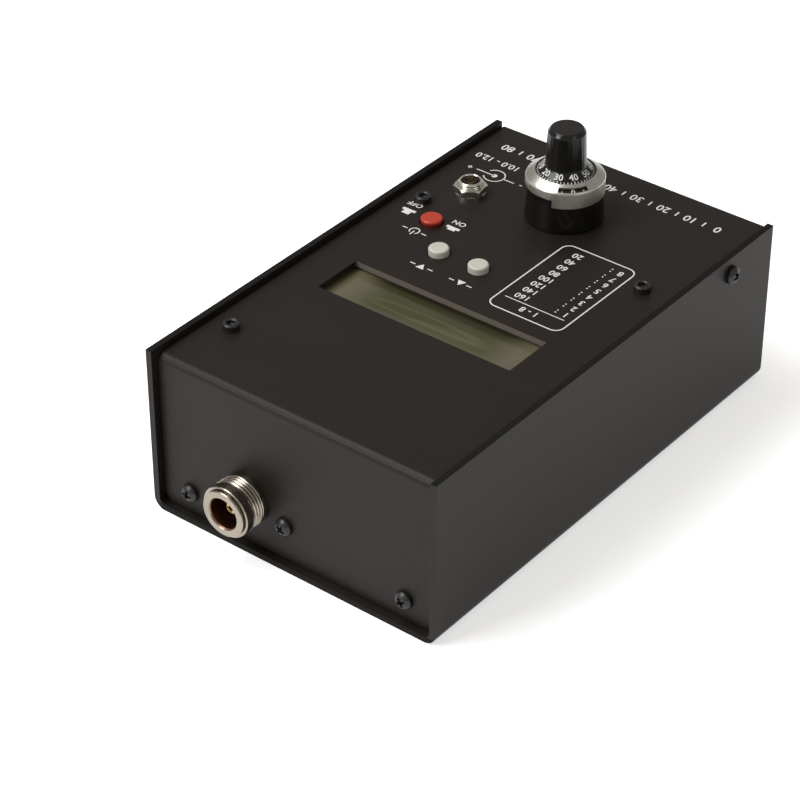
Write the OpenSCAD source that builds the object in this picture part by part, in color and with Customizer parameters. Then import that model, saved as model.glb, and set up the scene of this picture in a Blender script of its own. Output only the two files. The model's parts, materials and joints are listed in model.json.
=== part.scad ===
// Handheld antenna analyzer: two folded sheet shells, a hanging circuit board with
// display and buttons, a turns-counting tuning dial, a power socket and an antenna port.
// X runs to the reader's right, Y towards the antenna port, Z up. The origin is the
// centre of the base shell's footprint, on the surface it stands on.

/* [Case] */
// Width over the two side walls
case_w = 100; // [98:1:140]
// Length of the base shell
case_l = 160; // [156:1:210]
// Height of the side walls
wall_h = 53.5; // [50:0.5:80]
// Thickness of the folded sheet
sheet_t = 2; // [1.2:0.1:2.4]
// Outside radius of the base shell's long bends
base_bend_r = 3.9; // [3:0.1:6]
// Outside radius of the lid's two bends
lid_bend_r = 2.4; // [2.4:0.1:4]
// Gap between the lid and the side walls
shell_gap = 0.2; // [0.1:0.05:0.5]
// How far the panel lies below the wall tops
panel_drop = 1.9; // [0:0.1:4]
// How far the lid's antenna end lies inside the wall ends
lid_recess = 2.3; // [1:0.1:4]
// How far the lid's dial end stands past the wall ends
lid_overhang = 2.3; // [2.3:0.1:4]
// Gap under the lid's end faces
end_gap = 0.3; // [0.2:0.1:1]

/* [Case screws] */
// Thread radius of every machine screw
screw_r = 1.45; // [1.2:0.05:1.6]
// Head radius of the panel's socket screws
socket_head_r = 2.5; // [2.3:0.05:3]
// Head height of the panel's socket screws
socket_head_h = 2.1; // [2:0.1:3.5]
// Head radius of the crosshead screws
pan_head_r = 2.8; // [2.5:0.05:3]
// Head height of the crosshead screws
pan_head_h = 2.2; // [1.6:0.1:2.6]
// Distance of the two +X panel screws from the side wall's outside
panel_screw_inset = 9.7; // [9:0.1:14]
// Distance of the -X panel screw from the side wall's outside
left_screw_inset = 12.1; // [9:0.1:14]
// Place along Y of the panel screws near the dial
panel_screw_near_y = -30.4; // [-32:0.1:-26]
// Place along Y of the panel screw near the antenna port
panel_screw_far_y = 55.7; // [50:0.1:62]
// Distance of the end screws from the side walls' outside
end_screw_inset = 12; // [9:0.5:16]
// Height of the end screws
end_screw_z = 9; // [8:0.5:14]
// Place along Y of the side screws
side_screw_y = -58.1; // [-66:0.5:-50]
// Depth of the side screws below the panel's top
side_screw_drop = 3.9; // [3.8:0.1:6]

/* [Display] */
// Width of the display window
window_w = 67.2; // [50:0.2:70]
// Length of the display window along Y
window_l = 17.2; // [14:0.2:22]
// Centre of the window, X
window_x = 1.4; // [-1:0.1:1.6]
// Centre of the window, Y
window_y = 16; // [14:0.5:24]

/* [Buttons] */
// Radius of the two grey buttons
button_r = 3.07; // [2.5:0.01:4]
// How far the grey buttons stand above the panel
button_reach = 2; // [1:0.1:3]
// Travel of the grey buttons
button_travel = 0.5; // [0.25:0.05:0.6]
// Radius of the red power cap
cap_r = 3.3; // [2.5:0.05:4]
// How far the power cap stands above the panel
cap_reach = 1.7; // [1.6:0.1:3]
// Travel of the power cap
cap_travel = 1.5; // [0.8:0.1:1.6]
// Clearance of a button or cap in its hole
button_gap = 0.35; // [0.2:0.05:0.6]
// Centre of the power cap, X
power_x = 31; // [28:0.1:32]
// Centre of the power cap, Y
power_y = -22.6; // [-24:0.1:-18]
// Centre of the down button, X
down_x = 19.1; // [17:0.1:21]
// Centre of the up button, X
up_x = 4.9; // [2:0.1:7]
// Centre of both grey buttons, Y
button_y = -10.6; // [-12:0.1:-9]

/* [Tuning dial] */
// Dial axis, X
dial_x = 3.1; // [-6:0.1:6]
// Dial axis, Y
dial_y = -50; // [-54:0.5:-48]
// Radius of the dial over its silver ring
dial_r = 11.75; // [9.8:0.05:15]
// Height of the black base below the silver ring
drum_h = 8.8; // [8.8:0.1:11]
// Height of the silver ring's side band
band_h = 5; // [5:0.1:7]
// Height of the ring's conical face
cone_h = 1.7; // [1.2:0.1:2.2]
// Radius of the knob at its foot
knob_r = 6.1; // [5:0.05:6.5]
// Radius of the knob at its top
knob_top_r = 5.6; // [4.6:0.05:6]
// Height of the knob's top above the panel
knob_h = 29.2; // [25:0.1:36]
// Number of grip flutes round the knob
flutes = 24; // [12:2:30]
// Radius of the control's shaft
shaft_r = 3.175; // [2.8:0.005:3.2]
// Radius of the control's threaded bushing
bushing_r = 4.76; // [4.5:0.01:4.9]
// Length of the control's case under the panel
control_l = 20; // [16:0.5:26]

/* [Power socket] */
// Power socket axis, X
jack_x = 31.8; // [28:0.1:33]
// Power socket axis, Y
jack_y = -42.4; // [-46:0.1:-41]
// Outside radius of the socket's threaded bushing
jack_r = 3.7; // [3.5:0.05:4]
// Bore radius of the socket
jack_bore_r = 2.8; // [2.6:0.05:2.9]
// Height of the bushing above the panel
jack_reach = 4.8; // [4:0.1:7]
// Nut width across its flats
jack_nut_af = 9.1; // [9:0.1:11]

/* [Antenna port] */
// Port axis, X
port_x = 17.2; // [15:0.1:18]
// Port axis, Z
port_z = 17.1; // [16:0.1:19]
// Radius of the port's mating thread
port_r = 7.94; // [7.8:0.01:8.1]
// How far the port stands out of the end face
port_reach = 10; // [9:0.1:13]
// Radius of the port's shoulder against the end face
port_shoulder_r = 7.2; // [7:0.05:10]
// Radius of the port's rear thread
port_neck_r = 6.35; // [6:0.05:6.6]
// Bore radius of the port
port_bore_r = 4.7; // [4.2:0.05:5]

/* [Boards] */
// Length of the spacers between the panel and the main board
standoff_h = 12; // [12:0.5:14]
// Thickness of every circuit board
board_t = 1.6; // [1:0.1:2]

/* [Hidden] */
$fn = 64;

over = 1;               // how far a cutter runs past the face it cuts
slip = 0.05;            // clearance between a screw or pin and its hole
loose = 0.2;            // clearance of a hole that a screw passes through freely
snug = 0.02;            // clearance of two pieces that are pressed together
seat = 0.3;             // gap of a piece that is held but not clamped
panel_z = wall_h - panel_drop;
panel_under = panel_z - sheet_t;
port_face = case_l / 2 - lid_recess;
port_wall = port_face - sheet_t;
dial_face = -case_l / 2 - lid_overhang;
dial_wall = dial_face + sheet_t;
panel_screw_x = case_w / 2 - panel_screw_inset;
left_screw_x = left_screw_inset - case_w / 2;
end_screw_x = case_w / 2 - end_screw_inset;
side_screw_z = panel_z - side_screw_drop;
tab_w = 14;
tab_drop = 8;
lid_half_w = case_w / 2 - sheet_t - shell_gap;
lid_notch = sqrt(2) * (base_bend_r - sheet_t + 0.1);
panel_screw_places = [[panel_screw_x, panel_screw_far_y],
    [panel_screw_x, panel_screw_near_y], [left_screw_x, panel_screw_near_y]];
bracket_t = 1.5;
bracket_l = 14;
bracket_foot = 12;
bracket_h = 15;

// Screws
pan_profile = [[0, 0], [1, 0], [1, 0.45], [0.8, 0.86], [0.5, 1], [0, 1]];   // in head radii and heights
cross_l = 3;
cross_w = 0.7;
cross_depth = 1.2;
socket_af = 2.5;
socket_depth = 1.2;
socket_chamfer = 0.35;
panel_shank = 8;
case_shank = 6;
board_shank = 3.6;
bridge_shank = 4.6;

// Boards
board_top = panel_under - standoff_h;
board_under = board_top - board_t;
board_margin = 4.6;     // board edge beyond its screws
board_x0 = left_screw_x - board_margin;
board_x1 = panel_screw_x + board_margin;
board_y0 = panel_screw_near_y - board_margin;
board_y1 = panel_screw_far_y + board_margin;
display_board_w = 80;
display_board_l = 36;
display_hole_dx = 37.5;
display_hole_dy = 15.5;
display_hole_r = 1.25;
standoff_af = 5.5;
pin_pitch = 2.54;
pin_w = 0.64;
pin_count = 16;
pin_tail = 1.5;         // display pins below the main board
pin_tip = 0.9;          // display pins above the display board
pin_slot_w = 1;
display_under = board_top + pin_pitch;
display_top = display_under + board_t;
display_pin_x = window_x - 31;
display_pin_y = window_y + display_hole_dy;
spacer_r = 2.4;
spacer_pin_r = display_hole_r - slip;
spacer_tip_h = 1.5;
frame_w = 71.4;
frame_l = 24.4;
frame_t = 0.5;
frame_gap = 0.1;
glass_margin = 0.7;     // glass beyond the window's edge
frame_top = panel_under - seat;

// Buttons
stem_r = 1.7;
stem_gap = 0.1;
tact_w = 6;
tact_h = 3.5;
tact_floor = 1;         // floor of a push switch's bore
stem_top = panel_under - 2.1;
button_skirt = 5;       // button below the panel's underside
button_crown = 2;       // button's solid top above the stem's end
button_rim = 0.7;
flange_reach = 0.9;
flange_t = 0.9;
flange_gap = 0.35;
power_body_w = 8.5;
power_floor = 2;        // floor of the power switch's bore
plunger_w = 3.2;
plunger_drop = 0.4;     // plunger's top below the panel's top
cap_rim = 0.6;
cap_bottom = panel_under - 1.7;
power_body_top = cap_bottom - cap_travel - seat;

// Power socket
jack_washer_r = 4.75;
jack_washer_h = 1.1;
jack_nut_h = 2.1;
jack_nut_turn = 38;
jack_depth = 10;
jack_floor = 2;         // floor of the bore, down to the pin's foot
jack_chamfer = 0.5;
jack_body_l = 12;
jack_body_r = 5.2;
jack_flange_r = 6;
jack_flange_t = 2;
jack_pin_r = 1;
jack_pin_l = 6.6;
jack_tag_dx = 2.6;
jack_tag_l = 4.5;
jack_tag_w = 2;
tag_t = 0.5;

// Tuning dial, with heights above the panel
fixed_teeth = 36;
count_teeth = 40;
planet_teeth = 8;
control_case_r = 11.1;
control_bore = 6;       // shaft bore into the control's case
shaft_foot = 0.3;       // gap under the shaft
control_tag_x = [-5, 0, 5];
control_tag_y = 6;
control_tag_w = 1.6;
control_tag_l = 5;
drum_wall = 2.75;       // drum outside to the fixed gear's pitch line
ring_t = 0.6;           // wall of the silver ring
cone_run = 2.85;        // how far the cone reaches in
run_gap = 0.3;          // clearance of the turning rings
drum_top_r = dial_r - ring_t;
collar_gap = 0.05;
ring_gap = 0.1;         // silver ring's gap above the base
collar_r = drum_top_r - collar_gap;
collar_in_r = collar_r - 0.7;
cone_in_r = dial_r - cone_run;
skirt_r = cone_in_r - run_gap;
band_top = drum_h + band_h;
cone_slope = cone_h / cone_run;
cone_wall = ring_t * norm([cone_run, cone_h]) / cone_run;    // ring's wall at the cone, measured upright
ring_top = band_top + cone_h;
collar_top = band_top - 1.6;
floor_h = 1.2;
fixed_pitch_r = dial_r - drum_wall;
fixed_module = 2 * fixed_pitch_r / fixed_teeth;
orbit_r = fixed_pitch_r - fixed_module * planet_teeth / 2;
count_module = 2 * orbit_r / (count_teeth - planet_teeth);
count_pitch_r = count_module * count_teeth / 2;
pressure_angle = 25;
backlash = 0.06;        // gap at each tooth flank, along the pitch line
tooth_out = 0.72;       // planet tooth above its pitch line, in modules
tooth_in = 1.3;         // planet tooth below its pitch line, in modules
ring_tooth_in = 0.6;    // ring tooth inside its pitch line, in modules
ring_tooth_out = 1;     // ring space outside its pitch line, in modules
flank_steps = 3;
bushing_reach = 5.9;
nut_h = 2.4;
nut_af = 12.7;
washer_h = 0.6;
washer_r = 6.6;
gear_gap = 0.1;         // planet wheel's end gaps
fixed_gear_z0 = 6.3;
fixed_gear_z1 = 8.1;
count_gear_z0 = drum_h + 1.3;
count_gear_z1 = count_gear_z0 + 2.1;
skirt_z0 = band_top - 1.1;
skirt_z1 = ring_top - 0.3;
skirt_top = skirt_z1 + 1.8;
planet_angle = 300;
planet_pin_r = 0.6;
planet_core_r = 1.1;
hub_r = 4;
knob_bevel_h = 1.1;
knob_bevel_w = 0.85;
knob_fillet = 0.35;     // widening of the knob's foot
flute_r = 0.55;         // reach of a flute's corner from its own axis
flute_out = 0.1;        // a flute's axis outside the knob's foot
flute_foot = 0.8;       // a flute's lower end above the skirt
flute_end = 1.8;        // a flute's upper end below the knob's top
shaft_top = knob_h - 7.3;
grub_r = 1.25;
grub_l = 2.1;
grub_drop = 3;          // grub screw's axis below the shaft's top
window_angle = 137.8;   // direction of the dial's window from +X
window_half = 24;
window_in = 1.9;        // window's inner edge, in from the ring's outside
window_out = 0.45;      // window's outer edge, in from the ring's outside
window_cut = 0.8;       // window's cut below the side band's top
slot_end = 106;         // where the brake slot's square end lies
slot_start = -62;
slot_rise = 2.4;
ramp_start = 34;        // where the slot begins to rise
ramp_tilt = 34;
ramp_in = 3.65;         // ramp's foot line, in from the ring's outside along Y
shoe_gap = 0.05;
lever_from = -44;
lever_to = 24;
lever_grip = 14;        // angle that the finger grip takes
lever_reach = 3.2;

// Antenna port, with distances measured outwards from the end face
shoulder_l = 1.2;
groove_l = 0.5;
rim_l = 0.6;
rim_r = port_r - 0.8;
groove_r = port_r - 1.4;
thread_chamfer = 0.2;
rim_chamfer = 0.3;
neck_back = 8;
bore_back = 4;          // front bore's floor behind the end face
rear_bore_r = 4.2;
insulator_front = 2;    // insulator's front behind the end face
insulator_tail = 1.2;
contact_r = 1.6;
contact_back = 5.9;
contact_reach = 6.5;
contact_bore_r = 0.85;
contact_slit = 0.3;
contact_pin_r = 1.2;
port_nut_af = 16;
port_nut_h = 3;
port_washer_r = 9;
port_washer_h = 0.8;

// Bridge board behind the port
bridge_screw_x = port_x - 13.6;
bridge_screw_z = port_z - 3.6;
bridge_screw_rise = 5;  // board's screw above the end face's screw
bracket_w = 8;
bracket_z = 7.5;
bracket_front_h = 12;
bracket_back_h = 16;
bridge_y = port_wall - 15.4;
bridge_x0 = -2;
bridge_x1 = 34;
bridge_z0 = 6;
bridge_z1 = 28;
port_back = port_face - bridge_y + board_t + 1;
bridge_chip = [1.3, 0.6, 2.4];
bridge_chip_pitch = 2.6;

// Parts under the main board: places, and sizes as width, length and height
controller_place = [-18, 44];
socket_size = [10, 36, 4];
socket_well = [5.2, 30, 3];
controller_size = [7.2, 35, 3.4];
controller_legs = 14;
counter_place = [-4, 20];
counter_size = [6.4, 19.5, 3.4];
counter_legs = 8;
crystal_place = [4.5, 44];
crystal_size = [3.6, 10.4, 3.6];
regulator_place = [30, -27];
regulator_size = [10, 4.4, 9.2];
regulator_leg = [0.8, 0.6, 0.5];
capacitor_places = [[17, -27], [24, -14], [33, 0]];
capacitor_r = 4;
capacitor_h = 11;
relay_place = [-34, -24];
relay_pitch = [9, 16];
relay_size = [7.5, 12.5, 6.5];
trimmer_place = [14, 8];
trimmer_pitch = 13;
trimmer_size = [9.5, 4.8, 10];
shield_place = [16, 20];
shield_size = [26, 28, 9];
shield_t = 0.5;

// Inner leads
lead_r = 0.7;
coax_r = 1.25;
lead_sides = 8;
coax_board_inset = 9;   // coax lead's end, in from the main board's edge
jack_tag_end = [jack_x, jack_y, panel_under - jack_body_l - jack_tag_l];
control_tag_end = [dial_x, dial_y + control_tag_y + tag_t / 2, panel_under - control_l - control_tag_l];

// a block with two rounded long edges at the bottom
module bent_block(w, l, h, r) {
    difference() {
        translate([-w / 2, 0, 0]) cube([w, l, h]);
        for (side = [-1, 1])
            translate([side * (w / 2 - r), 0, r]) difference() {
                translate([side > 0 ? 0 : -r - over, -over, -r - over])
                    cube([r + over, l + 2 * over, r + over]);
                translate([0, -2 * over, 0]) rotate([-90, 0, 0]) cylinder(r = r, h = l + 4 * over);
            }
    }
}

// a hexagonal prism of a given width across flats
module hex(af, h) {
    cylinder(r = af / 2 / cos(30), h = h, $fn = 6);
}

// crosshead screw: its head stands on z = 0 and its shank goes down
module pan_screw(shank) {
    difference() {
        union() {
            rotate_extrude() polygon([for (p = pan_profile) [p[0] * pan_head_r, p[1] * pan_head_h]]);
            translate([0, 0, -shank]) cylinder(r = screw_r, h = shank + 0.1);
        }
        for (turn = [0, 90])
            rotate(turn) translate([-cross_l / 2, -cross_w / 2, pan_head_h - cross_depth])
                cube([cross_l, cross_w, cross_depth + over]);
    }
}

// socket screw: its head stands on z = 0 and its shank goes down
module socket_screw(shank) {
    difference() {
        union() {
            rotate_extrude() polygon([[0, 0], [socket_head_r, 0],
                [socket_head_r, socket_head_h - socket_chamfer],
                [socket_head_r - socket_chamfer, socket_head_h], [0, socket_head_h]]);
            translate([0, 0, -shank]) cylinder(r = screw_r, h = shank + 0.1);
        }
        translate([0, 0, socket_head_h - socket_depth]) hex(socket_af, socket_depth + over);
    }
}

// a round wire swept along points, each ring square to the route there
function unit(v) = v / norm(v);
function heading(p, i) = unit(p[min(i + 1, len(p) - 1)] - p[max(i - 1, 0)]);
function sideways(d) = unit(cross(d, abs(d[2]) > 0.8 ? [1, 0, 0] : [0, 0, 1]));
function wire_ring(p, i, r, n) = let (d = heading(p, i), a = sideways(d), b = cross(d, a))
    [for (k = [0:n - 1]) p[i] + r * (cos(360 * k / n) * a + sin(360 * k / n) * b)];
module wire(p, r) {
    n = lead_sides;
    m = len(p);
    rings = [for (i = [0:m - 1]) each wire_ring(p, i, r, n)];
    walls = [for (i = [0:m - 2]) for (k = [0:n - 1]) each
        [[i * n + k, i * n + (k + 1) % n, (i + 1) * n + k],
         [i * n + (k + 1) % n, (i + 1) * n + (k + 1) % n, (i + 1) * n + k]]];
    first = [for (k = [1:n - 2]) [0, k + 1, k]];
    last = [for (k = [1:n - 2]) [(m - 1) * n, (m - 1) * n + k, (m - 1) * n + k + 1]];
    polyhedron(points = rings, faces = concat(walls, first, last));
}

// angle of the involute from its base circle rb out to radius r, in degrees
function roll(rb, r) = r <= rb ? 0 : sqrt(r * r / (rb * rb) - 1) * 180 / PI - acos(rb / r);
// half the angle of a tooth at radius r, widened by gap along the pitch line
function half_tooth(z, m, gap, r) = let (rp = m * z / 2, rb = rp * cos(pressure_angle))
    90 / z + gap / rp * 180 / PI + roll(rb, rp) - roll(rb, r);
// one flank of tooth k, from its root at r0 to its tip at r1, on the side given as -1 or 1
function flank(k, side, z, m, gap, r0, r1) = [for (i = [0:flank_steps])
    let (r = r0 + (r1 - r0) * i / flank_steps, a = 360 * k / z + side * half_tooth(z, m, gap, r))
    [r * cos(a), r * sin(a)]];
function backwards(list) = [for (i = [len(list) - 1:-1:0]) list[i]];
// the closed outline of z teeth from radius r0 to radius r1
function teeth(z, m, gap, r0, r1) = [for (k = [0:z - 1])
    each concat(flank(k, -1, z, m, gap, r0, r1), backwards(flank(k, 1, z, m, gap, r0, r1)))];
module planet_teeth_block(m, h) {
    rp = m * planet_teeth / 2;
    linear_extrude(height = h)
        polygon(teeth(planet_teeth, m, -backlash, rp - tooth_in * m, rp + tooth_out * m));
}
module ring_teeth_cut(z, m, h) {
    rp = m * z / 2;
    linear_extrude(height = h) polygon(teeth(z, m, backlash, rp - ring_tooth_in * m, rp + ring_tooth_out * m));
}

module base_shell() {
    color("#1b1a1a") difference() {
        translate([0, -case_l / 2, 0]) bent_block(case_w, case_l, wall_h, base_bend_r);
        translate([0, -case_l / 2 - over, sheet_t])
            bent_block(case_w - 2 * sheet_t, case_l + 2 * over, wall_h, base_bend_r - sheet_t);
        for (side = [-1, 1])
            translate([side * (case_w / 2 + over), side_screw_y, side_screw_z])
                rotate([0, -side * 90, 0]) cylinder(r = screw_r + loose, h = sheet_t + 2 * over);
    }
}

// the lid's plain folded sheet: a panel with two end faces
module lid_sheet() {
    lid_len = port_face - dial_face;
    module across(l, r, top, w) {
        translate([w / 2, 0, top]) rotate([180, 0, -90]) bent_block(l, w, top - sheet_t - end_gap, r);
    }
    translate([0, (port_face + dial_face) / 2, 0]) difference() {
        across(lid_len, lid_bend_r, panel_z, 2 * lid_half_w);
        translate([0, 0, -over])
            across(lid_len - 2 * sheet_t, lid_bend_r - sheet_t, panel_under + over, 2 * lid_half_w + 2 * over);
        translate([-case_w, -(lid_len - 2 * sheet_t) / 2, 0])
            cube([2 * case_w, lid_len - 2 * sheet_t, sheet_t + end_gap + over]);
        // corners cut to clear the base shell's bends
        for (side = [-1, 1])
            translate([side * lid_half_w, 0, sheet_t + end_gap]) rotate([0, 45, 0])
                cube([lid_notch, 2 * lid_len, lid_notch], center = true);
    }
}

module panel_hole(x, y, r) {
    translate([x, y, panel_under - over]) cylinder(r = r, h = sheet_t + 2 * over);
}

module end_hole(x, z, r) {
    for (face = [port_wall, dial_face])
        translate([x, face - over, z]) rotate([-90, 0, 0]) cylinder(r = r, h = sheet_t + 2 * over);
}

module top_shell() {
    color("#1d1b1b") difference() {
        union() {
            lid_sheet();
            for (x = [-lid_half_w, lid_half_w - sheet_t])
                translate([x, side_screw_y - tab_w / 2, panel_under - tab_drop])
                    cube([sheet_t, tab_w, tab_drop + sheet_t / 2]);
        }
        translate([window_x - window_w / 2, window_y - window_l / 2, panel_under - over])
            cube([window_w, window_l, sheet_t + 2 * over]);
        for (p = panel_screw_places) panel_hole(p[0], p[1], screw_r + loose);
        panel_hole(power_x, power_y, cap_r + button_gap);
        panel_hole(down_x, button_y, button_r + button_gap);
        panel_hole(up_x, button_y, button_r + button_gap);
        panel_hole(jack_x, jack_y, jack_r + slip);
        panel_hole(dial_x, dial_y, bushing_r + slip);
        for (side = [-1, 1]) {
            end_hole(side * end_screw_x, end_screw_z, screw_r + loose);
            translate([side * (lid_half_w + over), side_screw_y, side_screw_z])
                rotate([0, -side * 90, 0]) cylinder(r = screw_r + slip, h = sheet_t + 2 * over);
        }
        translate([port_x, port_wall - over, port_z]) rotate([-90, 0, 0])
            cylinder(r = port_neck_r + slip, h = sheet_t + 2 * over);
        translate([bridge_screw_x, port_wall - over, bridge_screw_z]) rotate([-90, 0, 0])
            cylinder(r = screw_r + slip, h = sheet_t + 2 * over);
    }
}

// four angles welded to the base inside the lid's corners
module corner_bracket() {
    difference() {
        union() {
            translate([-bracket_l / 2, -bracket_foot, sheet_t]) cube([bracket_l, bracket_foot, bracket_t]);
            translate([-bracket_l / 2, -bracket_t, sheet_t]) cube([bracket_l, bracket_t, bracket_h]);
        }
        translate([0, -bracket_t - over, end_screw_z]) rotate([-90, 0, 0])
            cylinder(r = screw_r + slip, h = bracket_t + 2 * over);
    }
}
module corner_brackets() {
    color("#8f8f8c") for (side = [-1, 1]) {
        translate([side * end_screw_x, port_wall - slip, 0]) corner_bracket();
        translate([side * end_screw_x, dial_wall + slip, 0]) rotate(180) corner_bracket();
    }
}

module panel_screws() {
    color("#141414") for (p = panel_screw_places) translate([p[0], p[1], panel_z]) socket_screw(panel_shank);
}

module end_screws() {
    color("#1c1c1c") for (side = [-1, 1]) {
        translate([side * end_screw_x, port_face, end_screw_z]) rotate([-90, 0, 0]) pan_screw(case_shank);
        translate([side * end_screw_x, dial_face, end_screw_z]) rotate([90, 0, 0]) pan_screw(case_shank);
    }
}

module side_screws() {
    color("#1c1c1c") for (side = [-1, 1])
        translate([side * case_w / 2, side_screw_y, side_screw_z])
            rotate([0, side * 90, 0]) pan_screw(case_shank);
}

module panel_standoffs() {
    color("#b08d4a") for (p = panel_screw_places) translate([p[0], p[1], board_top]) difference() {
        hex(standoff_af, standoff_h);
        translate([0, 0, -over]) cylinder(r = screw_r + slip, h = standoff_h + 2 * over);
    }
}

module board_screws() {
    color("#9a9a98") for (p = panel_screw_places)
        translate([p[0], p[1], board_under]) rotate([180, 0, 0]) pan_screw(board_shank);
}

// holes that a board has for the display's spacers and pins
module display_holes(z) {
    for (sx = [-1, 1], sy = [-1, 1])
        translate([window_x + sx * display_hole_dx, window_y + sy * display_hole_dy, z - over])
            cylinder(r = display_hole_r, h = board_t + 2 * over);
    translate([display_pin_x - pin_slot_w / 2, display_pin_y - pin_slot_w / 2, z - over])
        cube([(pin_count - 1) * pin_pitch + pin_slot_w, pin_slot_w, board_t + 2 * over]);
}

module main_board() {
    color("#1f5a34") difference() {
        translate([board_x0, board_y0, board_under]) cube([board_x1 - board_x0, board_y1 - board_y0, board_t]);
        for (x = [left_screw_x, panel_screw_x], y = [panel_screw_near_y, panel_screw_far_y])
            translate([x, y, board_under - over]) cylinder(r = screw_r + loose, h = board_t + 2 * over);
        display_holes(board_under);
    }
}

module display_board() {
    color("#1f5a34") difference() {
        translate([window_x - display_board_w / 2, window_y - display_board_l / 2, display_under])
            cube([display_board_w, display_board_l, board_t]);
        display_holes(display_under);
    }
}

// pressed metal frame round the glass, open at the top
module display_frame() {
    glass_w = window_w + 2 * glass_margin;
    glass_l = window_l + 2 * glass_margin;
    color("#26282a") translate([window_x, window_y, 0]) difference() {
        translate([-frame_w / 2, -frame_l / 2, display_top]) cube([frame_w, frame_l, frame_top - display_top]);
        translate([-frame_w / 2 + frame_t, -frame_l / 2 + frame_t, display_top - over])
            cube([frame_w - 2 * frame_t, frame_l - 2 * frame_t, frame_top - display_top - frame_t + over]);
        translate([-glass_w / 2, -glass_l / 2, display_top]) cube([glass_w, glass_l, frame_top]);
    }
}

// a wide block under the frame, and a raised part that fills the frame's opening
module display_glass() {
    low_w = frame_w - 2 * frame_t - 2 * frame_gap;
    low_l = frame_l - 2 * frame_t - 2 * frame_gap;
    high_w = window_w + 2 * glass_margin - 2 * frame_gap;
    high_l = window_l + 2 * glass_margin - 2 * frame_gap;
    color("#9aa07c") translate([window_x, window_y, display_top]) union() {
        translate([-low_w / 2, -low_l / 2, 0])
            cube([low_w, low_l, frame_top - frame_t - frame_gap - display_top]);
        translate([-high_w / 2, -high_l / 2, 0]) cube([high_w, high_l, frame_top - frame_t - display_top]);
    }
}

module display_pins() {
    color("#222222") union() {
        translate([display_pin_x - pin_pitch / 2, display_pin_y - pin_pitch / 2, board_top])
            cube([pin_count * pin_pitch, pin_pitch, display_under - board_top]);
        for (i = [0:pin_count - 1])
            translate([display_pin_x + i * pin_pitch, display_pin_y, board_under - pin_tail])
                translate([-pin_w / 2, -pin_w / 2, 0])
                    cube([pin_w, pin_w, display_top + pin_tip - board_under + pin_tail]);
    }
}

// nylon posts that snap through both boards
module display_spacers() {
    color("#e6e2d6") for (sx = [-1, 1], sy = [-1, 1])
        translate([window_x + sx * display_hole_dx, window_y + sy * display_hole_dy, 0]) {
            translate([0, 0, board_top]) cylinder(r = spacer_r, h = display_under - board_top);
            translate([0, 0, board_under - 1]) cylinder(r = spacer_pin_r, h = display_top - board_under + 2);
            translate([0, 0, display_top])
                cylinder(r1 = spacer_pin_r + 0.5, r2 = spacer_pin_r - 0.1, h = spacer_tip_h);
        }
}

module power_switch() {
    color("#2c2c2e") translate([power_x, power_y, 0]) difference() {
        translate([-power_body_w / 2, -power_body_w / 2, board_top])
            cube([power_body_w, power_body_w, power_body_top - board_top]);
        translate([-plunger_w / 2 - stem_gap, -plunger_w / 2 - stem_gap, board_top + power_floor])
            cube([plunger_w + 2 * stem_gap, plunger_w + 2 * stem_gap, standoff_h]);
    }
}

module power_plunger() {
    bottom = board_top + power_floor + cap_travel + seat;
    color("#e9e6dc") translate([power_x - plunger_w / 2, power_y - plunger_w / 2, bottom])
        cube([plunger_w, plunger_w, panel_z - bottom - plunger_drop]);
}

// a round cap with a softened top rim, from z0 up to z1
module round_cap(r, z0, z1, rim) {
    translate([0, 0, z0]) rotate_extrude() {
        square([r - rim, z1 - z0]);
        square([r, z1 - z0 - rim]);
        translate([r - rim, z1 - z0 - rim]) circle(r = rim);
    }
}

module power_cap() {
    well_w = plunger_w + 2 * snug;
    color("#c5301f") translate([power_x, power_y, 0]) difference() {
        round_cap(cap_r, cap_bottom, panel_z + cap_reach, cap_rim);
        translate([-well_w / 2, -well_w / 2, cap_bottom - over])
            cube([well_w, well_w, panel_z - plunger_drop + 0.1 - cap_bottom + over]);
    }
}

module tact_switch(x) {
    translate([x, button_y, 0]) difference() {
        translate([-tact_w / 2, -tact_w / 2, board_top]) cube([tact_w, tact_w, tact_h]);
        translate([0, 0, board_top + tact_floor]) cylinder(r = stem_r + stem_gap, h = tact_h);
    }
}
module tact_stem(x) {
    bottom = board_top + tact_floor + button_travel + seat;
    translate([x, button_y, bottom]) cylinder(r = stem_r, h = stem_top - bottom);
}
module button_cap(x) {
    bottom = panel_under - button_skirt;
    translate([x, button_y, 0]) difference() {
        union() {
            round_cap(button_r, bottom, panel_z + button_reach, button_rim);
            translate([0, 0, panel_under - flange_gap - flange_t])
                cylinder(r = button_r + flange_reach, h = flange_t);
        }
        translate([0, 0, bottom - over]) cylinder(r = stem_r + snug, h = button_skirt + over - button_crown);
    }
}
module up_switch() { color("#2a2a2c") tact_switch(up_x); }
module up_stem() { color("#1f1f20") tact_stem(up_x); }
module up_button() { color("#b9bbb6") button_cap(up_x); }
module down_switch() { color("#2a2a2c") tact_switch(down_x); }
module down_stem() { color("#1f1f20") tact_stem(down_x); }
module down_button() { color("#b9bbb6") button_cap(down_x); }

module power_socket() {
    top = panel_z + jack_reach;
    body = panel_under - jack_body_l;
    shelf = panel_under - jack_flange_t;
    color("#b9b9b4") translate([jack_x, jack_y, 0]) difference() {
        rotate_extrude() polygon([[0, body], [jack_body_r, body], [jack_body_r, shelf - 1],
            [jack_flange_r, shelf], [jack_flange_r, panel_under], [jack_r, panel_under],
            [jack_r, top - jack_chamfer], [jack_r - jack_chamfer, top], [0, top]]);
        translate([0, 0, top - jack_depth]) cylinder(r = jack_bore_r, h = jack_depth + over);
        translate([0, 0, top - jack_depth - jack_floor]) cylinder(r = jack_pin_r + slip, h = jack_floor + over);
    }
}
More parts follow.
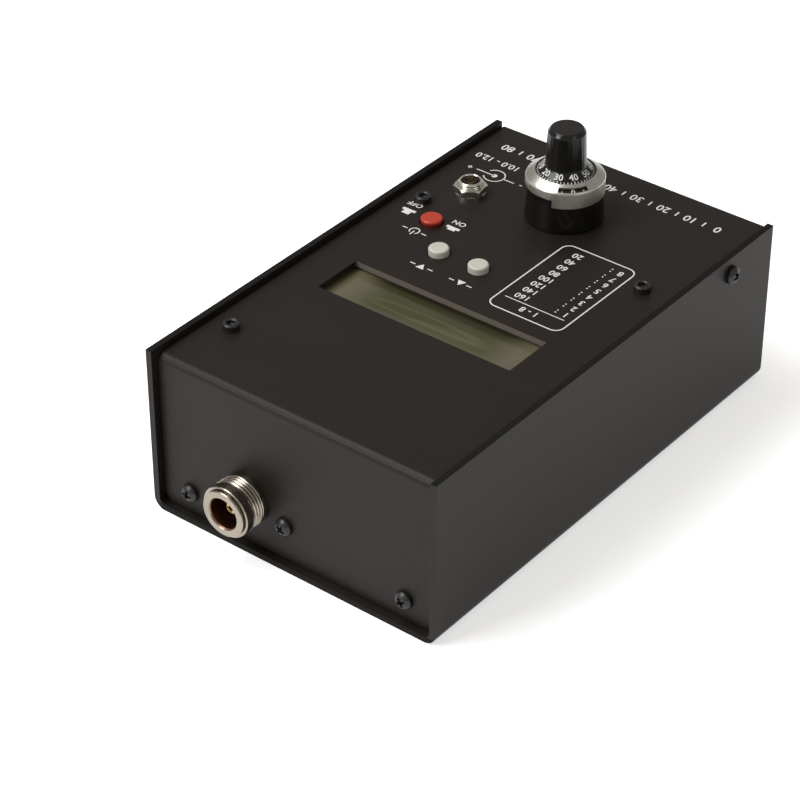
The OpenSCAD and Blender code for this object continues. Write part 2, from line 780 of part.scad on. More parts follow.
// the nut's upper corners are turned off
module power_socket_nut() {
    corner_r = jack_nut_af / sqrt(3);
    face_r = jack_nut_af / 2 + 0.1;
    color("#c4c3bd") translate([jack_x, jack_y, panel_z + jack_washer_h]) rotate(jack_nut_turn) difference() {
        intersection() {
            hex(jack_nut_af, jack_nut_h);
            rotate_extrude() polygon([[0, -over], [2 * corner_r, -over], [2 * corner_r, jack_nut_h - 0.5],
                [corner_r, jack_nut_h - 0.5], [face_r, jack_nut_h], [0, jack_nut_h]]);
        }
        translate([0, 0, -over]) cylinder(r = jack_r + slip, h = jack_nut_h + 2 * over);
    }
}
module power_socket_washer() {
    color("#a9a9a5") translate([jack_x, jack_y, panel_z]) difference() {
        cylinder(r = jack_washer_r, h = jack_washer_h);
        translate([0, 0, -over]) cylinder(r = jack_r + slip, h = jack_washer_h + 2 * over);
    }
}
module power_socket_pin() {
    tip = jack_pin_r * 0.6;
    color("#c9b27a") translate([jack_x, jack_y, panel_z + jack_reach - jack_depth - jack_floor]) {
        cylinder(r = jack_pin_r, h = jack_pin_l);
        translate([0, 0, jack_pin_l]) cylinder(r1 = jack_pin_r, r2 = tip, h = tip);
    }
}
module power_socket_tags() {
    color("#c9c4b0") for (x = [-jack_tag_dx, jack_tag_dx])
        translate([jack_x + x - jack_tag_w / 2, jack_y - tag_t / 2, panel_under - jack_body_l - jack_tag_l])
            cube([jack_tag_w, tag_t, jack_tag_l]);
}

module control_case() {
    color("#2b4f7d") translate([dial_x, dial_y, 0]) difference() {
        union() {
            translate([0, 0, panel_under - control_l]) cylinder(r = control_case_r, h = control_l);
            translate([0, 0, panel_under - sheet_t]) cylinder(r = bushing_r, h = 2 * sheet_t + bushing_reach);
        }
        translate([0, 0, panel_under - control_bore]) cylinder(r = shaft_r + slip, h = panel_z);
    }
}
module control_shaft() {
    foot = panel_under - control_bore + shaft_foot;
    color("#c8c8c4") translate([dial_x, dial_y, foot]) cylinder(r = shaft_r, h = panel_z + shaft_top - foot);
}
module control_washer() {
    color("#b0b0ab") translate([dial_x, dial_y, panel_z + floor_h]) difference() {
        cylinder(r = washer_r, h = washer_h);
        translate([0, 0, -over]) cylinder(r = bushing_r + slip, h = washer_h + 2 * over);
    }
}
module control_nut() {
    color("#b8b8b3") translate([dial_x, dial_y, panel_z + floor_h + washer_h]) difference() {
        hex(nut_af, nut_h);
        translate([0, 0, -over]) cylinder(r = bushing_r + slip, h = nut_h + 2 * over);
    }
}
module control_tags() {
    color("#c9c4b0") for (x = control_tag_x)
        translate([dial_x + x, dial_y + control_tag_y, panel_under - control_l - control_tag_l])
            translate([-control_tag_w / 2, 0, 0]) cube([control_tag_w, tag_t, control_tag_l]);
}

// a sector of a tube, from angle a0 to a1
module arc_block(r0, r1, z0, z1, a0, a1) {
    rotate([0, 0, a0]) rotate_extrude(angle = a1 - a0) polygon([[r0, z0], [r1, z0], [r1, z1], [r0, z1]]);
}

module on_dial() {
    translate([dial_x, dial_y, panel_z]) children();
}

module dial_base() {
    bore_r = fixed_pitch_r + ring_tooth_out * fixed_module + 0.2;
    color("#181716") on_dial() union() {
        rotate_extrude() polygon([[bushing_r + slip, 0], [dial_r - 0.25, 0], [dial_r, 0.5], [dial_r, 1.4],
            [drum_top_r, drum_h - ring_gap], [collar_r, drum_h - ring_gap], [collar_r, collar_top],
            [collar_in_r, collar_top], [collar_in_r, drum_h + 0.6], [bore_r, drum_h - ring_gap],
            [bore_r, floor_h], [bushing_r + slip, floor_h]]);
        rotate([0, 0, planet_angle]) difference() {
            translate([0, 0, fixed_gear_z0]) cylinder(r = bore_r + 0.3, h = fixed_gear_z1 - fixed_gear_z0);
            translate([0, 0, fixed_gear_z0 - over])
                ring_teeth_cut(fixed_teeth, fixed_module, fixed_gear_z1 - fixed_gear_z0 + 2 * over);
        }
    }
}

// the ring's cone outside, as height over radius
function cone_z(r) = band_top + (dial_r - r) * cone_slope;
module dial_ring() {
    color("#c9c7bf") on_dial() difference() {
        rotate_extrude() polygon([[drum_top_r, drum_h], [dial_r, drum_h], [dial_r, band_top - 0.3],
            [dial_r - 0.2, band_top + 0.05], [cone_in_r, ring_top], [cone_in_r, cone_z(cone_in_r) - cone_wall],
            [drum_top_r, cone_z(drum_top_r) - cone_wall]]);
        arc_block(dial_r - window_in, dial_r - window_out, band_top - window_cut, ring_top + over,
            window_angle - window_half, window_angle + window_half);
        // brake slot: level round the back, and rising to its square end
        arc_block(drum_top_r - 0.4, dial_r + over, drum_h - over, drum_h + slot_rise, slot_start, slot_end);
        intersection() {
            arc_block(drum_top_r - 0.4, dial_r + over, drum_h - over, band_top - 0.2, ramp_start, slot_end);
            translate([0, dial_r - ramp_in, drum_h]) rotate([ramp_tilt, 0, 0])
                translate([-2 * dial_r, -2 * dial_r, -dial_r]) cube([4 * dial_r, 4 * dial_r, dial_r]);
        }
    }
}

module counting_ring() {
    drop = cone_wall * (1 + run_gap / ring_t);
    gear_in_r = count_pitch_r - count_module;
    gear_out_r = collar_in_r - run_gap;
    face_r = drum_top_r - 0.2;
    web_z = count_gear_z1 + gear_gap;
    color("#171716") on_dial() difference() {
        rotate_extrude() polygon([[gear_in_r, count_gear_z0], [gear_out_r, count_gear_z0],
            [gear_out_r, collar_top + run_gap], [face_r, collar_top + run_gap], [face_r, cone_z(face_r) - drop],
            [cone_in_r, cone_z(cone_in_r) - drop], [cone_in_r, web_z], [gear_in_r, web_z]]);
        rotate([0, 0, planet_angle]) translate([0, 0, count_gear_z0 - over])
            ring_teeth_cut(count_teeth, count_module, count_gear_z1 - count_gear_z0 + 2 * over);
    }
}

// a stepped wheel: the lower teeth roll in the base, the upper ones drive the counting ring
module planet_wheel() {
    color("#d8d2bd") on_dial() rotate([0, 0, planet_angle]) translate([orbit_r, 0, 0]) difference() {
        union() {
            translate([0, 0, fixed_gear_z0 + gear_gap])
                planet_teeth_block(fixed_module, fixed_gear_z1 - fixed_gear_z0 - 2 * gear_gap);
            translate([0, 0, fixed_gear_z0 + 0.5])
                cylinder(r = planet_core_r, h = count_gear_z1 - fixed_gear_z0 - 1);
            translate([0, 0, count_gear_z0 + gear_gap])
                planet_teeth_block(count_module, count_gear_z1 - count_gear_z0 - 2 * gear_gap);
        }
        cylinder(r = planet_pin_r + slip, h = ring_top);
    }
}

module dial_knob() {
    bore_r = shaft_r + snug;
    hub_z = bushing_reach + seat;
    color("#141312") on_dial() difference() {
        union() {
            rotate_extrude() polygon([[bore_r, hub_z], [hub_r, hub_z], [hub_r, skirt_z0], [skirt_r, skirt_z0],
                [skirt_r, skirt_z1], [knob_r + knob_fillet, skirt_top], [knob_r, skirt_top + knob_fillet],
                [knob_top_r, knob_h - knob_bevel_h], [knob_top_r - knob_bevel_w, knob_h], [0, knob_h],
                [0, shaft_top + seat], [bore_r, shaft_top + seat]]);
            rotate([0, 0, planet_angle]) translate([orbit_r, 0, fixed_gear_z0])
                cylinder(r = planet_pin_r, h = skirt_z0 + 0.5 - fixed_gear_z0);
        }
        for (i = [0:flutes - 1])
            rotate([0, 0, i * 360 / flutes]) translate([knob_r + flute_out, 0, skirt_top + flute_foot])
                cylinder(r = flute_r, h = knob_h - flute_end - skirt_top - flute_foot, $fn = 4);
        rotate([0, 0, planet_angle]) translate([0, 0, shaft_top - grub_drop]) rotate([0, 90, 0])
            cylinder(r = grub_r + slip, h = 2 * knob_r);
    }
}

module dial_grub_screw() {
    color("#2a2a2a") on_dial() rotate([0, 0, planet_angle])
        translate([shaft_r + snug, 0, shaft_top - grub_drop]) rotate([0, 90, 0]) difference() {
            cylinder(r = grub_r, h = grub_l);
            translate([0, 0, grub_l / 2]) hex(grub_r, grub_l);
        }
}

// thin shoe in the ring's slot with a finger grip, on the dial's far side
module brake_lever() {
    z0 = drum_h + loose;
    z1 = drum_h + slot_rise - loose;
    color("#171615") on_dial() union() {
        arc_block(drum_top_r + shoe_gap, dial_r - shoe_gap, z0, z1, lever_from, lever_to);
        arc_block(drum_top_r + shoe_gap, dial_r + lever_reach, z0, z1, lever_from, lever_from + lever_grip);
    }
}

module on_port() {
    translate([port_x, port_face, port_z]) rotate([-90, 0, 0]) children();
}
module port_body() {
    groove_z = port_reach - rim_l - groove_l;
    back = -neck_back - sheet_t;
    color("#c6c2b6") on_port() difference() {
        rotate_extrude() polygon([[0, back], [port_neck_r, back], [port_neck_r, 0], [port_shoulder_r, 0],
            [port_shoulder_r, shoulder_l], [port_r, shoulder_l], [port_r, groove_z - thread_chamfer],
            [port_r - thread_chamfer, groove_z], [groove_r, groove_z], [groove_r, groove_z + groove_l],
            [rim_r, groove_z + groove_l], [rim_r, port_reach - rim_chamfer], [rim_r - rim_chamfer, port_reach],
            [0, port_reach]]);
        translate([0, 0, -bore_back]) cylinder(r = port_bore_r, h = port_reach + bore_back + over);
        translate([0, 0, back - over]) cylinder(r = rear_bore_r, h = neck_back + sheet_t + over);
    }
}
module port_insulator() {
    back = -neck_back - sheet_t - insulator_tail;
    color("#ece8dc") on_port() difference() {
        translate([0, 0, back]) cylinder(r = rear_bore_r - slip, h = -insulator_front - back);
        translate([0, 0, back - over]) cylinder(r = contact_pin_r + snug, h = over - back);
        translate([0, 0, -contact_back - loose / 2]) cylinder(r = contact_r + snug, h = contact_back + over);
    }
}
module port_contact() {
    color("#c79a4b") on_port() difference() {
        union() {
            translate([0, 0, -contact_back]) cylinder(r = contact_r, h = contact_back + contact_reach);
            translate([0, 0, -port_back]) cylinder(r = contact_pin_r, h = port_back - contact_back + over);
        }
        translate([0, 0, 1]) cylinder(r = contact_bore_r, h = contact_reach);
        for (turn = [0, 90])
            rotate(turn) translate([-contact_slit / 2, -2 * contact_r, 2])
                cube([contact_slit, 4 * contact_r, contact_reach]);
    }
}
module port_washer() {
    color("#a8a8a2") on_port() translate([0, 0, -sheet_t - port_washer_h]) difference() {
        cylinder(r = port_washer_r, h = port_washer_h);
        translate([0, 0, -over]) cylinder(r = port_neck_r + slip, h = port_washer_h + 2 * over);
    }
}
module port_nut() {
    color("#c6c2b6") on_port() translate([0, 0, -sheet_t - port_washer_h - port_nut_h]) difference() {
        rotate(30) hex(port_nut_af, port_nut_h);
        translate([0, 0, -over]) cylinder(r = port_neck_r + slip, h = port_nut_h + 2 * over);
    }
}

// bracket that carries the bridge board behind the port
module bridge_bracket() {
    color("#9a9a96") translate([bridge_screw_x, 0, 0]) difference() {
        translate([-bracket_w / 2, 0, bracket_z]) union() {
            translate([0, port_wall - bracket_t, 0]) cube([bracket_w, bracket_t, bracket_front_h]);
            translate([0, bridge_y, 0]) cube([bracket_w, port_wall - bridge_y, bracket_t]);
            translate([0, bridge_y, 0]) cube([bracket_w, bracket_t, bracket_back_h]);
        }
        for (hole = [[port_wall - bracket_t, bridge_screw_z], [bridge_y, bridge_screw_z + bridge_screw_rise]])
            translate([0, hole[0] - over, hole[1]]) rotate([-90, 0, 0])
                cylinder(r = screw_r + slip, h = bracket_t + 2 * over);
    }
}
module bridge_screws() {
    color("#2a2a2a") {
        translate([bridge_screw_x, port_face, bridge_screw_z]) rotate([-90, 0, 0]) pan_screw(case_shank);
        translate([bridge_screw_x, bridge_y - board_t, bridge_screw_z + bridge_screw_rise])
            rotate([90, 0, 0]) pan_screw(bridge_shank);
    }
}
module bridge_board() {
    color("#1f5a34") difference() {
        union() {
            translate([bridge_x0, bridge_y - board_t, bridge_z0])
                cube([bridge_x1 - bridge_x0, board_t, bridge_z1 - bridge_z0]);
            for (i = [0:3])
                translate([port_x + 5 + bridge_chip_pitch * i, bridge_y - board_t - bridge_chip[1], port_z - 6])
                    cube(bridge_chip + [0, 0.1, 0]);
        }
        translate([port_x, bridge_y + over, port_z]) rotate([90, 0, 0])
            cylinder(r = contact_pin_r + slip, h = board_t + 2 * over);
        translate([bridge_screw_x, bridge_y + over, bridge_screw_z + bridge_screw_rise]) rotate([90, 0, 0])
            cylinder(r = screw_r + slip, h = board_t + 2 * over);
    }
}

// a plain chip hanging from z = 0, with a dot notch, and legs down each long side
module chip(size, legs) {
    w = size[0];
    h = size[2];
    difference() {
        translate([-w / 2, -size[1] / 2, -h]) cube(size);
        translate([0, size[1] / 2, -h - over]) cylinder(r = 1, h = over + 0.4);
    }
    for (side = [-1, 1], i = [0:legs - 1])
        translate([side * (w / 2 + 0.2) - 0.25, (i - (legs - 1) / 2) * pin_pitch - 0.3, -h * 0.6])
            cube([0.5, 0.6, h * 0.6]);
}
module under_board(place) {
    translate([place[0], place[1], board_under]) children();
}
// a block under the board, centred on its place
module hung_block(size) {
    translate([-size[0] / 2, -size[1] / 2, -size[2]]) cube(size);
}
module controller_socket() {
    color("#1d1d1d") under_board(controller_place) rotate(90) difference() {
        hung_block(socket_size);
        translate([0, 0, socket_well[2] - socket_size[2]]) hung_block(socket_well + [0, 0, over]);
    }
}
module controller_chip() {
    color("#151515") under_board(controller_place) rotate(90) translate([0, 0, -socket_size[2] - 0.5])
        chip(controller_size, controller_legs);
}
module counter_chip() {
    color("#151515") under_board(counter_place) chip(counter_size, counter_legs);
}
module clock_crystal() {
    color("#c2c2bd") under_board(crystal_place) hung_block(crystal_size);
}
module voltage_regulator() {
    color("#1b1b1b") under_board(regulator_place) {
        translate([0, 0, -seat]) hung_block(regulator_size);
        for (i = [-1:1]) translate([i * pin_pitch, 0, 0]) hung_block(regulator_leg);
    }
}
module storage_capacitors() {
    color("#27324f") for (p = capacitor_places)
        under_board(p) translate([0, 0, -capacitor_h]) cylinder(r = capacitor_r, h = capacitor_h);
}
module band_relays() {
    color("#3d4f6b") for (i = [0:3], j = [0:1])
        under_board(relay_place + [i * relay_pitch[0], j * relay_pitch[1]])
            translate([0, 0, -relay_size[2]]) cube(relay_size);
}
module trimmers() {
    color("#2e62a8") for (i = [0:1])
        under_board(trimmer_place + [i * trimmer_pitch, 0]) difference() {
            hung_block(trimmer_size);
            translate([trimmer_size[0] / 3, 0, -trimmer_size[2] - over]) cylinder(r = 1, h = over + 1);
        }
}
module oscillator_shield() {
    color("#b7b7b1") under_board(shield_place) difference() {
        translate([0, 0, -shield_size[2]]) cube(shield_size);
        translate([shield_t, shield_t, shield_t - shield_size[2]])
            cube([shield_size[0] - 2 * shield_t, shield_size[1] - 2 * shield_t, shield_size[2]]);
    }
}

// inner leads, with routes chosen by hand between the tags and the boards
module socket_leads() {
    end = [jack_x, jack_y + 10.2, board_under];
    color("#a32b22") for (side = [-1, 1])
        wire([jack_tag_end + [2.6 * side, 0, 0], jack_tag_end + [2.6 * side, 0, -2],
            jack_tag_end + [2.6 * side, 0.8, -4], jack_tag_end + [2.6 * side, 3, -5.5],
            jack_tag_end + [2.4 * side, 6, -5], jack_tag_end + [2.2 * side, 8.6, -3],
            end + [2 * side, -0.2, -3], end + [2 * side, 0, -1.5], end + [2 * side, 0, 0]], lead_r);
}
module control_leads() {
    end = [dial_x, dial_y + 18.6, board_under];
    color("#d9d4c4") for (x = control_tag_x)
        wire([control_tag_end + [x, 0, 0], control_tag_end + [x, 0, -2], control_tag_end + [x * 0.95, 1.2, -4],
            control_tag_end + [x * 0.9, 4, -5.5], control_tag_end + [x * 0.8, 8, -4], end + [x * 0.7, -1.6, -8],
            end + [x * 0.6, -0.2, -5], end + [x * 0.6, 0, -2], end + [x * 0.6, 0, 0]], lead_r);
}
module coax_lead() {
    start = [bridge_x1 - 4, bridge_y - board_t, bridge_z1 - 6];
    end = [12.4, board_y1 - coax_board_inset, board_under];
    color("#2a2723") wire([start, start + [0, -3, 0], start + [-0.5, -5.5, 0.4], start + [-3, -7.6, 1.4],
        start + [-8, -8.4, 2.4], start + [-13, -8, 3.4], end + [0.8, -0.4, -7], end + [0, 0, -3], end], coax_r);
}

base_shell();
top_shell();
corner_brackets();
panel_screws();
end_screws();
side_screws();
panel_standoffs();
board_screws();
main_board();
display_board();
display_frame();
display_glass();
display_pins();
display_spacers();
power_switch();
power_plunger();
power_cap();
up_switch();
up_stem();
up_button();
down_switch();
down_stem();
down_button();
power_socket();
power_socket_nut();
power_socket_washer();
power_socket_pin();
power_socket_tags();
control_case();
control_shaft();
control_nut();
control_washer();
control_tags();
dial_base();
dial_ring();
counting_ring();
planet_wheel();
dial_knob();
dial_grub_screw();
brake_lever();
port_body();
port_insulator();
port_contact();
port_washer();
port_nut();
bridge_bracket();
bridge_screws();
bridge_board();
controller_socket();
controller_chip();
counter_chip();
clock_crystal();
voltage_regulator();
storage_capacitors();
band_relays();
trimmers();
oscillator_shield();
socket_leads();
control_leads();
coax_lead();
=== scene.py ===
import json
import math

import bmesh
import bpy
import numpy as np
from mathutils import Matrix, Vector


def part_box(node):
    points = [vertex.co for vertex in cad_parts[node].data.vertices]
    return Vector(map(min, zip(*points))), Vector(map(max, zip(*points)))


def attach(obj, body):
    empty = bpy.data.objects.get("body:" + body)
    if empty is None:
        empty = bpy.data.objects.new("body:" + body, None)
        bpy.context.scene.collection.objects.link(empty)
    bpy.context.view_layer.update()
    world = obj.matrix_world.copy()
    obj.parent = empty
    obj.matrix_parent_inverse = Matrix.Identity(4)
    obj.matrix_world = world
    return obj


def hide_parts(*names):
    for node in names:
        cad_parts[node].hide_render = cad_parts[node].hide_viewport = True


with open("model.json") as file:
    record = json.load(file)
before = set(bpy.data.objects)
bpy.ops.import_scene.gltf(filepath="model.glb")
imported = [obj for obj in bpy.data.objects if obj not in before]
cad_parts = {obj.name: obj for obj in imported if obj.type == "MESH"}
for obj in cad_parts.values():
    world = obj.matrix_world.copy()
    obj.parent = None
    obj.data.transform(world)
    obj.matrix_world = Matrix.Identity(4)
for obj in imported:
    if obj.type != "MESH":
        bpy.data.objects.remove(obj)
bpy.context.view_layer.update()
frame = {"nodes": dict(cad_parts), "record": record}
print("frame loaded:", len(frame["nodes"]), "nodes")

tau = 2 * math.pi
slotOf = {part["node"]: part["material_slot"] for part in frame["record"]["subparts"]}


def lowest(node):
    return np.array(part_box(node)[0]) * 1000     # millimetres


def highest(node):
    return np.array(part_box(node)[1]) * 1000


def middle(node):
    return (lowest(node) + highest(node)) / 2


panelZ = lowest("power_socket_washer")[2]     # the washer lies on the panel
dialX, dialY = middle("dial_base")[:2]
jackX, jackY = middle("power_socket_washer")[:2]
portX, portZ = middle("port_body")[[0, 2]]
endFaceY = highest("top_shell")[1]
sideX = highest("base_shell")[0]
wallTop = highest("base_shell")[2]
wallEndY = highest("base_shell")[1]
glassX, glassY = middle("display_glass")[:2]
windowHalf = 8.5        # about half the depth of the panel's cut-out, which is centred on the glass
windowFarY = glassY - windowHalf
windowReach = 40.0      # past both ends of the window, and short of the side walls
sheetReach = 2.1        # just past the sheet's thickness
edgeBand = 0.12         # how far a cut edge's paint goes round its corner


view = {
    "azimuth": 218.3168,    # degrees, 0 looks along +Y
    "elevation": 35.3476,
    "roll": 0.00058108,     # radians
    "distance": 826.862,    # mm, from the origin's depth to the lens
    "across": 19.5915,      # mm, where the origin lies in the picture's plane
    "up": -11.4271,
    "focal": 2832.08 / 800 * 36,
}


def makeCamera(v):
    a, e = math.radians(v["azimuth"]), math.radians(v["elevation"])
    back = np.array([math.sin(a) * math.cos(e), -math.cos(a) * math.cos(e), math.sin(e)])
    right = np.cross([0, 0, 1], back)
    right /= np.linalg.norm(right)
    rows = np.stack([right, np.cross(back, right), back])
    c, s = math.cos(v["roll"]), math.sin(v["roll"])
    rows = np.array([[c, -s, 0], [s, c, 0], [0, 0, 1]]) @ rows
    place = rows.T @ -np.array([v["across"], v["up"], -v["distance"]]) / 1000
    lens = bpy.data.cameras.new("camera")
    lens.sensor_width = 36
    lens.lens = v["focal"]
    lens.clip_start, lens.clip_end = 0.05, 50
    camera = bpy.data.objects.new("camera", lens)
    turned = np.eye(4)
    turned[:3, :3], turned[:3, 3] = rows.T, place
    camera.matrix_world = Matrix(turned.tolist())
    bpy.context.scene.collection.objects.link(camera)
    bpy.context.scene.camera = camera


makeCamera(view)
print("camera set")


class Wire:
    # one socket; arithmetic on it adds Math nodes
    def __init__(self, tree, socket=None):
        self.tree, self.socket = tree, socket

    def node(self, kind, settings=None, inputs=None, output=0):
        made = self.tree.nodes.new(kind)
        for key, value in (settings or {}).items():
            setattr(made, key, value)
        for key, value in (inputs or {}).items():
            if isinstance(value, Wire):
                self.tree.links.new(value.socket, made.inputs[key])
            else:
                made.inputs[key].default_value = value
        return Wire(self.tree, made.outputs[output] if made.outputs else None)

    def math(self, operation, *values, clamp=False):
        return self.node("ShaderNodeMath", {"operation": operation, "use_clamp": clamp}, dict(enumerate(values)))

    def __add__(self, other):
        return self.math("ADD", self, other)

    def __sub__(self, other):
        return self.math("SUBTRACT", self, other)

    def __rsub__(self, other):
        return self.math("SUBTRACT", other, self)

    def __mul__(self, other):
        return self.math("MULTIPLY", self, other)

    def __truediv__(self, other):
        return self.math("DIVIDE", self, other)

    def __gt__(self, other):
        return self.math("GREATER_THAN", self, other)

    def __lt__(self, other):
        return self.math("LESS_THAN", self, other)

    __radd__, __rmul__ = __add__, __mul__

    def size(self):
        return self.math("ABSOLUTE", self)

    def between(self, low, high):
        # 0 at low, 1 at high, smooth between
        return self.node("ShaderNodeMapRange", {"interpolation_type": "SMOOTHSTEP"}, {0: self, 1: low, 2: high})

    def place(self):
        # the point in millimetres, as three values
        spot = self.node("ShaderNodeTexCoord", output=3)
        split = self.node("ShaderNodeSeparateXYZ", inputs={0: spot})
        made = split.socket.node
        return [Wire(self.tree, made.outputs[i]) * 1000.0 for i in range(3)]

    def noise(self, grain, detail=3.0, rough=0.5, stretch=(1, 1, 1), seed=0.0):
        # fractal noise with lumps about `grain` millimetres across
        spot = self.node("ShaderNodeTexCoord", output=3)
        moved = self.node("ShaderNodeMapping", inputs={0: spot, 1: (seed, seed, seed), 3: stretch})
        settings = {"Vector": moved, "Scale": 1000 / grain, "Detail": detail, "Roughness": rough}
        return self.node("ShaderNodeTexNoise", inputs=settings)

    def blend(self, amount, first, second):
        sockets = {0: amount, 6: first, 7: second}
        return self.node("ShaderNodeMix", {"data_type": "RGBA"}, sockets, output=2)

    def bump(self, height, depth):
        return self.node("ShaderNodeBump", inputs={"Height": height, "Distance": depth / 1000, "Strength": 1.0})


def rgb(color, gain=1.0):
    return tuple(min(1.0, c * gain) for c in color) + (1.0,)


def material(name, paint, **fixed):
    made = bpy.data.materials.new(name)
    made.use_nodes = True
    shader = made.node_tree.nodes["Principled BSDF"]
    for key, value in fixed.items():
        shader.inputs[key.replace("_", " ")].default_value = value
    for key, value in paint(Wire(made.node_tree)).items():
        if isinstance(value, Wire):
            made.node_tree.links.new(value.socket, shader.inputs[key])
        else:
            shader.inputs[key].default_value = value
    return made


def moulded(color, rough, grain=0.5, depth=0.01, spread=0.12, stretch=(1, 1, 1)):
    # plastic, paint and plating: a slow drift of tone, and a fine grain that also varies the gloss
    def paint(w):
        slow, fine = w.noise(grain * 24, 2.0), w.noise(grain, 3.0, stretch=stretch, seed=3.1)
        return {
            "Base Color": w.blend(slow, rgb(color, 1 - spread), rgb(color, 1 + spread)),
            "Roughness": rough * 0.85 + rough * 0.3 * fine,
            "Normal": w.bump(fine, depth),
        }
    return paint


finishes = {
    "black_steel": {"color": (0.011, 0.0105, 0.0105), "rough": 0.36, "grain": 0.3, "depth": 0.01},
    "zinc_steel": {"color": (0.60, 0.61, 0.60), "rough": 0.34, "grain": 0.8, "depth": 0.004, "metal": 1.0},
    "brass": {"color": (0.72, 0.52, 0.24), "rough": 0.3, "grain": 0.6, "depth": 0.003, "metal": 1.0},
    "display_frame": {"color": (0.03, 0.031, 0.033), "rough": 0.4, "grain": 0.6, "depth": 0.004},
    "black_plastic": {"color": (0.016, 0.016, 0.017), "rough": 0.5, "grain": 0.4, "depth": 0.01},
    "white_plastic": {"color": (0.72, 0.70, 0.64), "rough": 0.45, "grain": 0.5, "depth": 0.006},
    "blue_plastic": {"color": (0.05, 0.13, 0.36), "rough": 0.42, "grain": 0.5, "depth": 0.006},
    "relay_blue": {"color": (0.09, 0.15, 0.27), "rough": 0.44, "grain": 0.5, "depth": 0.008},
    "gold_plate": {"color": (0.83, 0.58, 0.24), "rough": 0.25, "grain": 0.5, "depth": 0.002, "metal": 1.0},
    "tin_plate": {"color": (0.66, 0.65, 0.6), "rough": 0.38, "grain": 0.5, "depth": 0.006, "metal": 1.0},
    "ground_steel": {
        "color": (0.6, 0.6, 0.59), "rough": 0.28, "grain": 0.3, "depth": 0.003, "metal": 1.0, "stretch": (1, 1, 8),
    },
    "red_wire": {"color": (0.42, 0.025, 0.02), "rough": 0.4, "grain": 0.7, "depth": 0.006},
    "pale_wire": {"color": (0.64, 0.6, 0.48), "rough": 0.4, "grain": 0.7, "depth": 0.006},
    "black_wire": {"color": (0.018, 0.016, 0.015), "rough": 0.55, "grain": 0.5, "depth": 0.01},
    "capacitor_sleeve": {"color": (0.02, 0.035, 0.11), "rough": 0.35, "grain": 0.9, "depth": 0.004},
}
looks = {}
for slot, f in finishes.items():
    paint = moulded(f["color"], f["rough"], f["grain"], f["depth"], stretch=f.get("stretch", (1, 1, 1)))
    looks[slot] = material(slot, paint, Metallic=f.get("metal", 0.0))


def casePaint(w):
    # black-brown baked paint; the display window's far cut edge is painted paler, standing in for the light it catches,
    # and the top edges of the base's walls and the ends of its floor are painted darker as shade, and made matt
    x, y, z = w.place()
    slow, fine = w.noise(16.0, 3.0), w.noise(0.35, 3.0, seed=3.1)
    # painted light: the window's far cut edge is paler, standing in for the light it catches
    atWindow = ((y - float(windowFarY)).size() < 0.3) * (x.size() < windowReach)
    cut = atWindow * (z < float(panelZ) - edgeBand) * (z > float(panelZ) - sheetReach)
    # painted shade: the walls' top edges and the floor's ends are darker, and also matt
    wallRim = (x.size() > float(sideX) - sheetReach) * (z > float(wallTop) - edgeBand)
    endRim = (y.size() > float(wallEndY) - edgeBand) * (z < sheetReach)
    rim = w.math("MAXIMUM", wallRim, endRim)
    plain = w.blend(slow, (0.0104, 0.0078, 0.0062, 1), (0.0130, 0.0100, 0.0080, 1))
    cutEdgeLit = w.blend(cut, plain, (0.14, 0.118, 0.098, 1))
    return {
        "Base Color": w.blend(rim, cutEdgeLit, (0.003, 0.0026, 0.0022, 1)),
        "Roughness": 0.38 + 0.14 * fine + 0.3 * rim,
        "Normal": w.bump(fine, 0.012),
    }


def nickelPaint(w):
    # plated brass: warm grey, darker and browner on the port, dark gold inside the port's bore (radius 4.7) as painted
    # shade and warm reflection, and painted shade in the grooves of its thread, whose root is at radius 7.34 and its
    # crest at 7.94
    x, y, z = w.place()
    dx, dz = x - float(portX), z - float(portZ)
    far = w.math("SQRT", dx * dx + dz * dz)
    inside = 1 - far.between(4.72, 5.2)
    atPort = y > float(endFaceY) - 12.0
    # painted shade and warm reflection: the port's bore is a dark gold
    shadedBore = inside * atPort
    # painted shade in the grooves of the port's thread
    grooveShade = atPort * (1 - far.between(7.45, 7.85)) * far.between(7.2, 7.3) * (y < float(endFaceY) + 8.2)
    fine, slow = w.noise(0.25, 2.0), w.noise(6.0, 2.0, seed=1.7)
    # the port is darker and browner than the socket
    paleTone = w.blend(slow, (0.60, 0.575, 0.52, 1), (0.76, 0.74, 0.69, 1))
    darkPortTone = w.blend(slow, (0.27, 0.235, 0.19, 1), (0.41, 0.37, 0.315, 1))
    plain = w.blend(grooveShade * 0.85, w.blend(atPort, paleTone, darkPortTone), (0.06, 0.048, 0.037, 1))
    return {
        "Base Color": w.blend(shadedBore, plain, (0.20, 0.10, 0.048, 1)),
        "Roughness": 0.2 + 0.12 * fine + 0.1 * shadedBore,
        "Normal": w.bump(fine, 0.003),
    }


def satinPaint(w):
    # turned aluminium: fine rings drawn round the dial axis, seen as soft streaks; its upright band is painted paler
    # than the cone, standing in for the light it catches
    x, y, z = w.place()
    dx, dy = x - float(dialX), y - float(dialY)
    far = w.math("SQRT", dx * dx + dy * dy)
    rings = w.math("SINE", (far * 2.0 + z * 3.0) * 14.0)
    slow, fine = w.noise(2.5, 3.0), w.noise(0.2, 2.0, seed=2.2)
    # painted light: the upright band is paler than the cone
    litBand = far > float(highest("dial_ring")[0] - dialX) - 0.08      # a hair inside the ring's outer wall
    cone = w.blend(slow, (0.42, 0.41, 0.375, 1), (0.57, 0.56, 0.52, 1))
    return {
        "Base Color": w.blend(litBand, cone, w.blend(slow, (0.76, 0.74, 0.66, 1), (0.94, 0.92, 0.84, 1))),
        "Roughness": 0.27 + 0.1 * fine + 0.03 * rings,
        "Normal": w.bump(rings * 0.5 + fine, 0.0025),
    }


